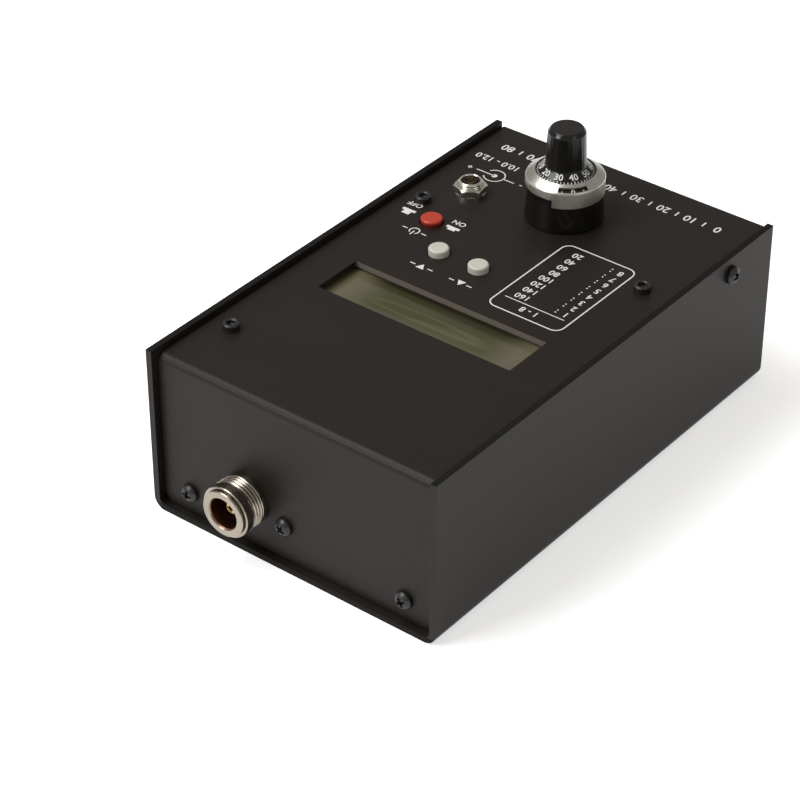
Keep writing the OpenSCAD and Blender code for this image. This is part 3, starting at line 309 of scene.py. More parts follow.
def dialPaint(w):
    # semi-gloss black moulding with a faint drift in its gloss
    slow, fine = w.noise(5.0, 2.0), w.noise(0.5, 3.0, seed=5.0)
    return {
        "Base Color": w.blend(slow, (0.0042, 0.0038, 0.0030, 1), (0.0070, 0.0064, 0.0054, 1)),
        "Roughness": 0.14 + 0.12 * fine,
        "Normal": w.bump(fine, 0.003),
    }


def glassPaint(w):
    # a switched-off display: pale ends, an olive field with a painted shadow of the window's far edge, a faint wavy
    # loop along its middle (a distorted ellipse) and a bright line at its near border
    x, y = w.place()[:2]
    along, over = x - float(glassX), y - float(glassY)
    field = (1 - along.size().between(17.0, 30.0)) * (1 - over.between(2.5, 7.6))
    # painted shadow of the window's far edge on the glass
    shade = (1 - over.between(-8.3, -3.0)) * (1 - along.size().between(20.0, 31.0))
    streak = w.noise(8.0, 3.0, stretch=(0.3, 1.5, 1))
    u, v = along / 23.0, (over - 0.2) / 2.3
    loop = w.math("SQRT", u * u + v * v) + streak * 0.9 - 1.35
    ripple = (1 - loop.size().between(0.03, 0.3)) * (1 - along.size().between(15.0, 25.0))
    body = w.blend(field, (0.105, 0.093, 0.056, 1), (0.036, 0.037, 0.0075, 1))
    streaked = w.blend(streak.between(0.45, 0.68) * 0.45 + ripple * 0.45, body, (0.088, 0.086, 0.034, 1))
    dark = w.blend(shade * 0.75, streaked, (0.016, 0.015, 0.008, 1))
    line = over.between(7.6, 7.9) * (1 - over.between(8.2, 8.5))
    return {
        "Base Color": w.blend(line * 0.4, dark, (0.24, 0.22, 0.16, 1)),
        "Roughness": 0.16 + 0.06 * w.noise(0.6, 2.0),
        "Normal": w.bump(w.noise(7.0, 2.0, seed=8.0), 0.01),
    }


def capPaint(w):
    # red moulding, with painted shade darkening its side below the top
    z = w.place()[2]
    # painted shade: the side is darker than the top
    top = z.between(float(panelZ) + 0.2, float(panelZ) + 1.5)
    fine = w.noise(0.35, 3.0)
    return {
        "Base Color": w.blend(top, (0.11, 0.010, 0.005, 1), (0.42, 0.034, 0.012, 1)),
        "Roughness": 0.33 + 0.12 * fine,
        "Normal": w.bump(fine, 0.006),
    }


def keyPaint(w):
    # grey moulding with a satin face
    slow, fine = w.noise(4.0, 2.0), w.noise(0.3, 3.0, seed=4.0)
    return {
        "Base Color": w.blend(slow, (0.46, 0.45, 0.395, 1), (0.53, 0.52, 0.465, 1)),
        "Roughness": 0.42 + 0.14 * fine,
        "Normal": w.bump(fine, 0.006),
    }


def boardPaint(w):
    # green solder mask over copper tracks, with tinned pads on a tenth-inch grid
    x, y = w.place()[:2]
    pitch = 2.54
    px, py = w.math("PINGPONG", x, pitch / 2), w.math("PINGPONG", y, pitch / 2)
    pads = (1 - w.math("SQRT", px * px + py * py).between(0.42, 0.5)) * (w.noise(14.0, 1.0) > 0.52)
    tracks = (w.math("PINGPONG", x + y, pitch * 2) < 0.3) * (w.noise(22.0, 1.0, seed=6.0) > 0.5)
    mask = w.blend(tracks, (0.012, 0.085, 0.03, 1), (0.03, 0.15, 0.055, 1))
    return {
        "Base Color": w.blend(pads, mask, (0.62, 0.6, 0.55, 1)),
        "Roughness": 0.3 + 0.15 * w.noise(0.8, 2.0),
        "Metallic": pads * 1.0,
        "Normal": w.bump(pads + 0.5 * tracks, 0.02),
    }


def printPaint(w):
    # screen-printed white ink, slightly uneven
    fine = w.noise(0.25, 2.0)
    return {
        "Base Color": w.blend(fine, (0.62, 0.61, 0.58, 1), (0.76, 0.75, 0.72, 1)),
        "Roughness": 0.5 + 0.1 * fine,
    }


looks["case_paint"] = material("case_paint", casePaint, Specular_IOR_Level=0.21)
looks["nickel"] = material("nickel", nickelPaint, Metallic=1.0)
looks["satin_ring"] = material("satin_ring", satinPaint, Metallic=1.0)
looks["dial_black"] = material("dial_black", dialPaint, Specular_IOR_Level=0.36)
looks["display_glass"] = material("display_glass", glassPaint, Coat_Weight=0.2, Coat_Roughness=0.04)
looks["red_plastic"] = material("red_plastic", capPaint)
looks["grey_plastic"] = material("grey_plastic", keyPaint)
looks["board_green"] = material("board_green", boardPaint)
looks["print"] = material("white_print", printPaint)
print("finishes made:", len(looks))

for name, node in frame["nodes"].items():
    node.data.materials.clear()
    node.data.materials.append(looks[slotOf[name]])
print("finishes put on the CAD nodes")


class Heap:
    # points in millimetres and faces, gathered from several shapes into one mesh
    def __init__(self):
        self.points, self.faces, self.count = [], [], 0

    def add(self, points, faces):
        points = np.asarray(points, float).reshape(-1, 3)
        self.points.append(points)
        self.faces += [tuple(int(i) + self.count for i in face) for face in faces]
        self.count += len(points)

    def grid(self, points):
        # quads between neighbours of a rows by columns grid, whose last column joins the first
        rows, columns = points.shape[:2]
        r, c = np.meshgrid(np.arange(rows - 1), np.arange(columns), indexing="ij")
        a, b = r * columns + c, r * columns + (c + 1) % columns
        self.add(points, np.stack([a, b, b + columns, a + columns], -1).reshape(-1, 4))

    def piece(self, name, look, body, replaced=(), slot=None, smooth=35):
        mesh = bpy.data.meshes.new(name)
        mesh.from_pydata((np.concatenate(self.points) / 1000).tolist(), [], self.faces)
        return settle(bpy.data.objects.new(name, mesh), look, body, replaced, smooth)


def settle(made, look, body, replaced=(), smooth=35, weld=1e-6):
    # welds seams and poles, turns faces outwards, shades smooth below `smooth` degrees, and puts the piece on its body
    mesh = made.data
    work = bmesh.new()
    work.from_mesh(mesh)
    bmesh.ops.remove_doubles(work, verts=work.verts, dist=weld)
    bmesh.ops.dissolve_degenerate(work, edges=work.edges, dist=weld / 2)
    bmesh.ops.recalc_face_normals(work, faces=work.faces)
    for edge in work.edges:
        edge.smooth = not edge.is_manifold or edge.calc_face_angle() < math.radians(smooth)
    for face in work.faces:
        face.smooth = True
    work.to_mesh(mesh)
    work.free()
    mesh.materials.clear()
    mesh.materials.append(looks[look])
    bpy.context.scene.collection.objects.link(made)
    even = made.modifiers.new("even", "WEIGHTED_NORMAL")    # flat faces keep their own shading beside a soft edge
    even.mode, even.keep_sharp, even.weight = "FACE_AREA", True, 50
    if replaced:
        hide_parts(*replaced)
    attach(made, body)
    return made


def rounded(points, reach, steps=4):
    # each corner becomes a quadratic curve that leaves one side `reach` before it and joins the next `reach` after it
    p = np.array(points, float)
    a, b, c = p[:-2], p[1:-1], p[2:]
    la, lc = np.linalg.norm(a - b, axis=1), np.linalg.norm(c - b, axis=1)
    d = np.minimum(reach, np.minimum(la, lc) * 0.45)[:, None]
    start, end = b + (a - b) / la[:, None] * d, b + (c - b) / lc[:, None] * d
    t = np.linspace(0, 1, steps + 1)[None, :, None]
    curve = (1 - t) ** 2 * start[:, None] + 2 * t * (1 - t) * b[:, None] + t ** 2 * end[:, None]
    return np.concatenate([p[:1], curve.reshape(-1, 2), p[-1:]])


def dense(profile, step):
    # the same outline with points no further apart than `step`
    p = np.asarray(profile, float)
    gaps = np.maximum(1, np.ceil(np.linalg.norm(np.diff(p, axis=0), axis=1) / step).astype(int))
    at = np.concatenate([np.arange(n) / n + i for i, n in enumerate(gaps)] + [[len(gaps)]])
    return np.stack([np.interp(at, np.arange(len(p)), p[:, k]) for k in (0, 1)], -1)


def turned(profile, sides, shape=None):
    # each profile point (radius, height) goes round the z axis: x = r cos t, y = r sin t; shape changes r and h by
    # angle
    t = np.linspace(0, tau, sides, endpoint=False)[None, :]
    r, h = profile[:, :1] + 0 * t, profile[:, 1:] + 0 * t
    if shape:
        r, h = shape(r, h, t)
    return np.stack([r * np.cos(t), r * np.sin(t), h], -1)


def smoothstep(x, low, high):
    s = np.clip((x - low) / (high - low), 0, 1)
    return s * s * (3 - 2 * s)


def thread(low, high, pitch, depth, atRadius):
    # a V groove wound once round for each pitch of height, fading out at both ends
    def shape(r, h, t):
        phase = np.mod(h / pitch - t / tau, 1)
        groove = 1 - np.abs(2 * phase - 1)
        on = smoothstep(h, low, low + pitch) * (1 - smoothstep(h, high - pitch, high))
        return r - depth * groove * on * (np.abs(r - atRadius) < 0.02), h
    return shape


def placed(points, x=(1, 0, 0), y=(0, 1, 0), z=(0, 0, 1), at=(0, 0, 0)):
    # carries local points to new axes and an origin
    return np.asarray(points) @ np.array([x, y, z], float) + np.array(at, float)


def bevelled(name, node, width, segments=2, weld=2e-6):
    # a copy of a CAD node with its sharp edges softened by `width` millimetres
    source = frame["nodes"][node]
    made = bpy.data.objects.new(name, source.data.copy())
    work = bmesh.new()
    work.from_mesh(made.data)
    bmesh.ops.remove_doubles(work, verts=work.verts, dist=weld)
    bmesh.ops.dissolve_limit(work, angle_limit=math.radians(0.5), verts=work.verts, edges=work.edges)
    sharp = [e for e in work.edges if e.is_manifold and e.calc_face_angle() > math.radians(40)]
    bmesh.ops.bevel(
        work, geom=sharp, offset=width / 1000, segments=segments, profile=0.5, affect="EDGES", clamp_overlap=True)
    bmesh.ops.triangulate(work, faces=work.faces)
    work.to_mesh(made.data)
    work.free()
    body = next(b for b, members in frame["record"]["behaviour"]["bodies"].items() if node in members)
    return settle(made, slotOf[node], body, (node,))


bevelled("case_bottom", "base_shell", 0.22)
bevelled("case_top", "top_shell", 0.22)
bevelled("silver_ring", "dial_ring", 0.07)
print("case and ring edges softened")


screws = {
    "socketHead": 2.5, "socketHeight": 2.1, "hex": 2.5, "hexDepth": 1.2, "knurls": 32, "knurlDepth": 0.08,
    "panHead": 2.8, "panHeight": 2.2, "crossReach": 1.55, "crossHalf": 0.33, "crossDepth": 1.15,
    "shank": 1.45, "pitch": 0.5, "threadDepth": 0.2, "panelShank": 8, "caseShank": 6, "bridgeShank": 4.6,
    "panel": [(40.3, 55.7), (40.3, -30.4), (-37.9, -30.4)],
    "endX": 38.0, "endZ": 9.0, "sideY": -58.1, "sideZ": 47.7,
    "bridgeDx": -13.6, "bridgeDz": -3.6,    # from the port's axis to the outer screw
    "bridgeRise": 5,                        # from that screw up to the inner one
}


def socketScrew(s, length):
    # a revolve whose recess radius follows a hexagon and whose side carries straight knurls
    top, r = s["socketHeight"], s["socketHead"]
    flat = s["hex"] / 2
    corner = flat / math.cos(math.pi / 6)
    outline = rounded([
        (0, -length), (s["shank"] - 0.25, -length), (s["shank"], -length + 0.3), (s["shank"], 0), (r, 0),
        (r, top - 0.4), (r - 0.4, top), (corner + 0.3, top), (corner, top - 0.25),
        (corner, top - s["hexDepth"]), (0, top - s["hexDepth"] - 0.3),
    ], 0.1, 3)
    outline = dense(outline, 0.12)

    def shape(rr, h, t):
        hexagon = flat / np.cos(np.mod(t, tau / 6) - tau / 12) / corner
        inRecess = (h > top - s["hexDepth"] - 0.35) * (rr < corner + 0.02)
        rr = np.where(inRecess, rr * hexagon, rr)
        side = smoothstep(h, 0.15, 0.4) * (1 - smoothstep(h, top - 0.7, top - 0.45)) * (rr > r - 0.05)
        rr = rr - s["knurlDepth"] * (0.5 + 0.5 * np.cos(s["knurls"] * t)) * side
        return thread(-length, -1.0, s["pitch"], s["threadDepth"], s["shank"])(rr, h, t)
    return turned(outline, 144, shape)


def crossScrew(s, length):
    # a domed head, whose height falls with a power of the radius; two crossed grooves with sloping walls are sunk in it
    top, r = s["panHeight"], s["panHead"]
    around = np.linspace(0, 1, 26)[::-1][:, None]
    dome = np.concatenate([around * r * 0.97, top * (1 - 0.5 * around ** 2.6)], 1)
    lower = rounded([
        (0, -length), (s["shank"] - 0.25, -length), (s["shank"], -length + 0.3), (s["shank"], 0), (r, 0),
        (r, top * 0.42), (r * 0.97, top * 0.5),
    ], 0.12, 3)
    outline = np.concatenate([dense(lower, 0.12)[:-1], dome])

    def shape(rr, h, t):
        u, v = np.abs(rr * np.cos(t)), np.abs(rr * np.sin(t))
        reach, half = s["crossReach"], s["crossHalf"]
        slot = np.maximum(
            (1 - smoothstep(u, half, half + 0.12)) * (1 - smoothstep(v, reach - 0.5, reach)),
            (1 - smoothstep(v, half, half + 0.12)) * (1 - smoothstep(u, reach - 0.5, reach)))
        h = h - s["crossDepth"] * slot * (h > top * 0.5)
        return thread(-length, -0.8, s["pitch"], s["threadDepth"], s["shank"])(rr, h, t)
    return turned(outline, 120, shape)


def aimed(points, way, a, at):
    # turns a screw by `a` radians and points its head along `way`, which is 1 or -1 on one of the axes
    c, s = math.cos(a), math.sin(a)
    wx, wy, wz = way
    if wz:
        axes = (c, s, 0), (-s, c, 0)
    elif wy:
        axes = (c, 0, -s * wy), (s, 0, c * wy)
    else:
        axes = (0, c, s * wx), (0, -s, c * wx)
    return placed(points, *axes, way, at)


def makeScrews(v):
    panel, ends, sides, bridge = Heap(), Heap(), Heap(), Heap()
    for spin, (x, y) in enumerate(v["panel"]):
        panel.grid(aimed(socketScrew(v, v["panelShank"]), (0, 0, 1), 0.3 + 0.7 * spin, (x, y, panelZ)))
    farFaceY = lowest("top_shell")[1]
    for spin, (x, y, way) in enumerate([(-1, endFaceY, 1), (1, endFaceY, 1), (-1, farFaceY, -1), (1, farFaceY, -1)]):
        at = (x * v["endX"], y, v["endZ"])
        ends.grid(aimed(crossScrew(v, v["caseShank"]), (0, way, 0), 0.5 + 0.9 * spin, at))
    for side in (-1, 1):
        sides.grid(aimed(crossScrew(v, v["caseShank"]), (side, 0, 0), 0.4, (side * sideX, v["sideY"], v["sideZ"])))
    bridgeX, bridgeZ = portX + v["bridgeDx"], portZ + v["bridgeDz"]
    innerY = lowest("bridge_board")[1] + 0.6
    bridge.grid(aimed(crossScrew(v, v["caseShank"]), (0, 1, 0), 1.0, (bridgeX, endFaceY, bridgeZ)))
    inner = crossScrew(v, v["bridgeShank"])
    bridge.grid(aimed(inner, (0, -1, 0), 0.0, (bridgeX, innerY, bridgeZ + v["bridgeRise"])))
    panel.piece("panel_socket_screws", "black_steel", "case", ("panel_screws",), "black_steel")
    ends.piece("end_face_screws", "black_steel", "case", ("end_screws",), "black_steel")
    sides.piece("side_wall_screws", "black_steel", "case", ("side_screws",), "black_steel")
    bridge.piece("bridge_fixing_screws", "black_steel", "case", ("bridge_screws",), "black_steel")


makeScrews(screws)
print("screws made")


port = {
    "neck": 6.35, "neckBack": 10.0, "shoulder": 7.2, "shoulderLength": 1.2, "barrel": 7.94, "reach": 10.0, "rim": 7.14,
    "rimLength": 0.6, "groove": 6.54, "grooveLength": 0.5, "bore": 4.7, "backBore": 4.2, "boreDepth": 4.0,
    "pitch": 1.06, "threadDepth": 0.6, "threadFrom": 1.75, "threadTo": 6.5,
}


def portShape(p):
    z0 = p["reach"] - p["rimLength"] - p["grooveLength"]
    outline = rounded([
        (p["backBore"], -p["neckBack"]), (p["neck"] - 0.3, -p["neckBack"]), (p["neck"], -p["neckBack"] + 0.3),
        (p["neck"], 0), (p["shoulder"], 0), (p["shoulder"], p["shoulderLength"]),
        (p["barrel"], p["shoulderLength"] + 0.05),
        (p["barrel"], z0 - 0.25), (p["barrel"] - 0.25, z0), (p["groove"], z0), (p["groove"], z0 + p["grooveLength"]),
        (p["rim"], z0 + p["grooveLength"]), (p["rim"], p["reach"] - 0.25), (p["rim"] - 0.25, p["reach"]),
        (p["bore"] + 0.45, p["reach"]), (p["bore"], p["reach"] - 0.6), (p["bore"], -p["boreDepth"]),
        (p["backBore"], -p["boreDepth"]), (p["backBore"], -p["neckBack"]),
    ], 0.12, 3)
    outer = thread(p["threadFrom"], p["threadTo"], p["pitch"], p["threadDepth"], p["barrel"])
    inner = thread(-p["neckBack"], -0.3, 0.8, 0.3, p["neck"])

    def shape(r, h, t):
        r, h = outer(r, h, t)
        return inner(r, h, t)
    return turned(dense(outline, 0.11), 120, shape)


portHeap = Heap()
portHeap.grid(placed(portShape(port), (1, 0, 0), (0, 0, -1), (0, 1, 0), (portX, endFaceY, portZ)))
portHeap.piece("antenna_port_body", "nickel", "case", ("port_body",), "nickel")
print("antenna port made")


socket = {
    "flange": 6.0, "flangeThick": 2, "case": 5.2, "caseLength": 12, "bushing": 3.7, "bore": 2.8, "reach": 4.8,
    "depth": 10.0, "pinHole": 1.05, "pinHoleDepth": 2, "pitch": 0.55, "threadDepth": 0.18, "panel": 2,
}


def socketShape(s, under, top):
    floor = top - s["depth"]
    outline = rounded([
        (0, under - s["caseLength"]), (s["case"], under - s["caseLength"]), (s["case"], under - s["flangeThick"] - 1),
        (s["flange"], under - s["flangeThick"]), (s["flange"], under), (s["bushing"], under),
        (s["bushing"], top - 0.5), (s["bushing"] - 0.45, top), (s["bore"] + 0.2, top), (s["bore"], top - 0.25),
        (s["bore"], floor), (s["pinHole"], floor), (s["pinHole"], floor - s["pinHoleDepth"]),
        (0, floor - s["pinHoleDepth"]),
    ], 0.1, 3)
    return turned(dense(outline, 0.09), 96, thread(under, top - 0.3, s["pitch"], s["threadDepth"], s["bushing"]))


socketHeap = Heap()
bushing = socketShape(socket, panelZ - socket["panel"], panelZ + socket["reach"])
socketHeap.grid(placed(bushing, at=(jackX, jackY, 0)))
socketHeap.piece("power_socket_bushing", "nickel", "case", ("power_socket",), "nickel")
bevelled("power_socket_ring_nut", "power_socket_nut", 0.12)
print("power socket made")


knob = {
    "foot": 6.1, "top": 5.6, "height": 29.2, "bevelHeight": 1.1, "bevelWidth": 0.85, "flutes": 24, "fluteDepth": 0.04,
    "hub": 4.0, "hubLow": 6.2, "skirt": 8.6, "skirtLow": 12.7, "skirtEdge": 15.2, "skirtTop": 17.0,
    "bore": 3.2, "boreTop": 22.2,
}


def knobShape(k):
    # the flutes are a cosine raised to a power, faded out at the foot and below the bevelled top
    outline = rounded([
        (k["bore"], k["hubLow"]), (k["hub"], k["hubLow"]), (k["hub"], k["skirtLow"]), (k["skirt"], k["skirtLow"]),
        (k["skirt"], k["skirtEdge"]), (k["foot"] + 0.35, k["skirtTop"]), (k["foot"], k["skirtTop"] + 0.35),
        (k["top"], k["height"] - k["bevelHeight"]), (k["top"] - k["bevelWidth"], k["height"]), (0, k["height"]),
    ], 0.3, 5)
    inside = np.array([(0, k["boreTop"]), (k["bore"], k["boreTop"]), (k["bore"], k["hubLow"])])

    def shape(r, h, t):
        on = smoothstep(h, k["skirtTop"] + 0.6, k["skirtTop"] + 1.3)
        on = on * (1 - smoothstep(h, k["height"] - 1.9, k["height"] - 1.3))
        ridge = (0.5 + 0.5 * np.cos(k["flutes"] * t)) ** 2.5
        return r - k["fluteDepth"] * ridge * on * (r > k["top"] - 0.3), h
    return turned(dense(outline, 0.35), 288, shape), turned(dense(inside, 0.8), 288)


knobHeap = Heap()
for part in knobShape(knob):
    knobHeap.grid(placed(part, at=(dialX, dialY, panelZ)))
knobHeap.piece("fluted_knob", "dial_black", "knob", ("dial_knob",), "dial_black")
print("knob made")


leads = {
    "radius": 0.7, "coax": 1.25, "sides": 14, "steps": 6,
    # each route hangs from its tag and climbs to its end on the board; "row" multiplies the x offsets of each lead
    "socket": {
        "row": (-1, 1), "tag": (31.8, -42.4, 33.1), "end": (31.8, -32.2, 36.0),
        "hang": [(2.6, 0, 0), (2.6, 0, -2), (2.6, 0.8, -4), (2.6, 3, -5.5), (2.4, 6, -5), (2.2, 8.6, -3)],
        "rise": [(2, -0.2, -3), (2, 0, -1.5), (2, 0, 0)],
    },
    "control": {
        "row": (-5, 0, 5), "tag": (3.1, -43.75, 24.6), "end": (3.1, -31.4, 36.0),
        "hang": [(1, 0, 0), (1, 0, -2), (0.95, 1.2, -4), (0.9, 4, -5.5), (0.8, 8, -4)],
        "rise": [(0.7, -1.6, -8), (0.6, -0.2, -5), (0.6, 0, -2), (0.6, 0, 0)],
    },
    "antenna": {
        "row": (1,), "tag": (30.0, 58.7, 22.0), "end": (12.4, 51.3, 36.0),
        "hang": [(0, 0, 0), (0, -3, 0), (-0.5, -5.5, 0.4), (-3, -7.6, 1.4), (-8, -8.4, 2.4), (-13, -8, 3.4)],
        "rise": [(0.8, -0.4, -7), (0, 0, -3), (0, 0, 0)],
    },
}


def tube(points, radius, sides, steps):
    # a round tube along a Catmull-Rom curve: each span runs through its two points, with slopes taken from their
    # neighbours
    p = np.array(points, float)
    q = np.concatenate([2 * p[:1] - p[1:2], p, 2 * p[-1:] - p[-2:-1]])
    a, b, c, d = (q[i:len(q) - 3 + i, None] for i in range(4))
    t = np.arange(steps)[None, :, None] / steps
    curve = 0.5 * (2 * b + (c - a) * t + (2 * a - 5 * b + 4 * c - d) * t ** 2 + (3 * b - a - 3 * c + d) * t ** 3)
    line = np.concatenate([curve.reshape(-1, 3), p[-1:]])
    heading = np.gradient(line, axis=0)
    heading /= np.linalg.norm(heading, axis=1)[:, None]
    side = [np.cross(heading[0], [1.0, 0.3, 0.1])]
    for h in heading[1:]:
        side.append(side[-1] - h * (side[-1] @ h))
    side = np.array(side)
    side /= np.linalg.norm(side, axis=1)[:, None]
    up = np.cross(heading, side)
    around = np.linspace(0, tau, sides, endpoint=False)[None, :, None]
    rings = line[:, None] + radius * (np.cos(around) * side[:, None] + np.sin(around) * up[:, None])
    ends = [np.repeat(line[i][None, None], sides, 1) for i in (0, -1)]
    return np.concatenate([ends[0], rings, ends[1]])


def leadHeap(v, lead, radius):
    heap = Heap()
    for place in lead["row"]:
        wide = np.array([place, 1, 1])
        route = [np.array(lead["tag"]) + np.array(q) * wide for q in lead["hang"]]
        route += [np.array(lead["end"]) + np.array(q) * wide for q in lead["rise"]]
        heap.grid(tube(route, radius, v["sides"], v["steps"]))
    return heap


for name, route, radius, look, node in (
    ("power_leads", "socket", "radius", "red_wire", "socket_leads"),
    ("tuning_leads", "control", "radius", "pale_wire", "control_leads"),
    ("antenna_coax", "antenna", "coax", "black_wire", "coax_lead"),
):
    leadHeap(leads, leads[route], leads[radius]).piece(name, look, "case", (node,), look, 60)
print("inner leads made")


def writing(text, size, thick=0.03, bold=0.012):
    # a line of text as points in millimetres, centred in the xy plane, and its faces
    curve = bpy.data.curves.new("line", "FONT")
    curve.body, curve.size, curve.extrude = text, size, thick / 2
    curve.align_x, curve.align_y = "CENTER", "CENTER"
    curve.resolution_u, curve.offset = 3, bold * size     # the offset thickens the strokes
    holder = bpy.data.objects.new("line", curve)
    bpy.context.scene.collection.objects.link(holder)
    bpy.context.view_layer.update()
    mesh = bpy.data.meshes.new_from_object(holder.evaluated_get(bpy.context.evaluated_depsgraph_get()))
    points = np.empty(len(mesh.vertices) * 3)
    mesh.vertices.foreach_get("co", points)
    faces = [tuple(p.vertices) for p in mesh.polygons]
    bpy.data.objects.remove(holder)
    bpy.data.curves.remove(curve)
    bpy.data.meshes.remove(mesh)
    return points.reshape(-1, 3), faces


def plate(corners, thick=0.03):
    # a flat polygon with a little thickness, corners counterclockwise
    c = np.array(corners, float)
    n = len(c)
    points = np.concatenate([np.c_[c, np.full(n, -thick / 2)], np.c_[c, np.full(n, thick / 2)]])
    i = np.arange(n)
    walls = np.stack([i, (i + 1) % n, (i + 1) % n + n, i + n], -1)
    return points, [tuple(i[::-1])] + [tuple(i + n)] + [tuple(w) for w in walls]


def bar(u, v):
    return [(-u, -v), (u, -v), (u, v), (-u, v)]


def stroke(points, width, thick=0.03, closed=False):
    # a flat band of even width along a line: each point moves half the width to both sides, square to the heading
    p = np.array(points, float)
    ahead = np.roll(p, -1, 0) - p if closed else np.gradient(p, axis=0)
    behind = p - np.roll(p, 1, 0) if closed else ahead
    heading = ahead / np.linalg.norm(ahead, axis=1)[:, None] + behind / np.linalg.norm(behind, axis=1)[:, None]
    heading /= np.linalg.norm(heading, axis=1)[:, None]
    side = np.stack([-heading[:, 1], heading[:, 0]], -1) * width / 2
    corners = ((1, -thick / 2), (-1, -thick / 2), (-1, thick / 2), (1, thick / 2))
    grid = np.stack([np.c_[p + s * side, np.full(len(p), h)] for s, h in corners], 1)
    if closed:
        grid = np.concatenate([grid, grid[:1]])
    rows = len(grid)
    r, c = np.meshgrid(np.arange(rows - 1), np.arange(4), indexing="ij")
    a, b = r * 4 + c, r * 4 + (c + 1) % 4
    faces = [tuple(f) for f in np.stack([a, b, b + 4, a + 4], -1).reshape(-1, 4)]
    if not closed:
        faces += [(3, 2, 1, 0), tuple((rows - 1) * 4 + np.arange(4))]
    return grid.reshape(-1, 3), faces


def arc(cx, cy, r, a0, a1, steps=40):
    t = np.radians(np.linspace(a0, a1, steps))
    return np.stack([cx + r * np.cos(t), cy + r * np.sin(t)], -1)


def roundedFrame(x0, x1, y0, y1, r, steps=8):
    corners = [(x1 - r, y1 - r, 0), (x0 + r, y1 - r, 90), (x0 + r, y0 + r, 180), (x1 - r, y0 + r, 270)]
    return np.concatenate([arc(x, y, r, a, a + 90, steps) for x, y, a in corners])


marks = {
    "lift": 0.02,       # half of the ink stands in the paint
    "line": 0.38, "frameLine": 0.42, "thinLine": 0.3,
    "scale": {"from": -37.0, "to": 38.6, "y": -70.6, "count": 17, "step": 5, "size": 4.3, "tick": (0.25, 1.15)},
    "socketText": {"x": 36.3, "y": -62.2, "size": 3.7, "text": "10.0 - 12.0"},
    "polarity": {
        "x": 32.2, "y": -54.9, "ring": 3.25, "open": 30, "dot": 0.9, "size": 3.2,
        "plusLead": 38.9, "minusLead": 25.0, "plus": 41.2, "minus": 22.7,
    },
    "switchText": {"size": 2.9, "at": [("OFF", 40.6, -27.4), ("ON", 24.0, -26.9)]},
    "icons": [(40.2, -23.2, 1.7), (24.0, -23.2, 0.9)],      # place, and height of the bar: raised for off, low for on
    "power": {"x": 31.9, "y": -15.6, "ring": 1.5, "from": 125, "to": 415, "dashes": 3.4},
    "arrows": {"y": -1.7, "at": [(18.5, -1), (4.6, 1)], "dashes": 3.1},
    "dash": (0.9, 0.19),
    "frame": {
        "x0": -31.8, "x1": -7.1, "y0": -37.3, "y1": 1.7, "corner": 2.8, "text": 3.3, "header": -1.8, "rule": -4.3,
        "inset": 2.2, "firstRow": -6.9, "lastRow": -33.6, "rows": 8, "number": 3.4, "colon": 6.6, "dot": 0.22,
        "colonHalf": 0.6, "value": 6.4, "top": 160, "fall": 20,
    },
}


def panelMarks(m):
    heap = Heap()

    def put(shape, x=0.0, y=0.0):
        heap.add(shape[0] + np.array([x, y, panelZ + m["lift"]]), shape[1])

    def dashes(x, y, away):
        for side in (-1, 1):
            put(plate(bar(*m["dash"])), x + away * side, y)

    # a plain scale of numbers across the far end
    s = m["scale"]
    for i, x in enumerate(np.linspace(s["from"], s["to"], s["count"])):
        put(plate(bar(*s["tick"])) if i % 2 else writing(str(i * s["step"]), s["size"]), x, s["y"])
    t = m["socketText"]
    put(writing(t["text"], t["size"]), t["x"], t["y"])
    # polarity: a ring open towards the plus lead, a centre dot and two leads
    p = m["polarity"]
    put(stroke(arc(p["x"], p["y"], p["ring"], p["open"], 360 - p["open"]), m["line"]))
    put(plate(arc(0, 0, p["dot"], 0, 345, 24)), p["x"], p["y"])
    put(stroke([(p["x"], p["y"]), (p["plusLead"], p["y"])], m["line"]))
    put(stroke([(p["x"] - p["ring"], p["y"]), (p["minusLead"], p["y"])], m["line"]))
    put(writing("+", p["size"]), p["plus"], p["y"])
    put(writing("-", p["size"]), p["minus"], p["y"])
    for text, x, y in m["switchText"]["at"]:
        put(writing(text, m["switchText"]["size"]), x, y)
    for x, y, tall in m["icons"]:
        half = [(2.3, -1.1), (2.3, 0.0), (1.3, 0.0), (1.3, tall)]
        put(plate([(-u, v) for u, v in half[:1]] + half + [(-u, v) for u, v in half[:0:-1]]), x, y)
    # power: a ring broken by a bar
    o = m["power"]
    put(stroke(arc(o["x"], o["y"], o["ring"], o["from"], o["to"]), m["line"]))
    put(stroke([(o["x"], o["y"]), (o["x"], o["y"] + 1.5 * o["ring"])], m["line"]))
    dashes(o["x"], o["y"], o["dashes"])
    # arrows for the two keys
    a = m["arrows"]
    for x, way in a["at"]:
        corners = [(-1.4, -1.1 * way), (1.4, -1.1 * way), (0, 1.3 * way)]
        put(plate(corners if way > 0 else corners[::-1]), x, a["y"])
        dashes(x, a["y"], a["dashes"])
    # a framed table: a header, a rule and numbered rows
    f = m["frame"]
    put(stroke(roundedFrame(f["x0"], f["x1"], f["y0"], f["y1"], f["corner"]), m["frameLine"], closed=True))
    put(writing("1 - 8", f["text"]), (f["x0"] + f["x1"]) / 2, f["header"])
    put(stroke([(f["x0"] + f["inset"], f["rule"]), (f["x1"] - f["inset"], f["rule"])], m["thinLine"]))
    for i, y in enumerate(np.linspace(f["firstRow"], f["lastRow"], f["rows"])):
        put(writing(str(i + 1), f["text"]), f["x0"] + f["number"], y)
        for side in (-1, 1):
            put(plate(bar(f["dot"], f["dot"])), f["x0"] + f["colon"], y + f["colonHalf"] * side)
        put(writing(str(f["top"] - f["fall"] * i), f["text"]), f["x1"] - f["value"], y)
    return heap.piece("panel_print", "print", "case")


panelMarks(marks)


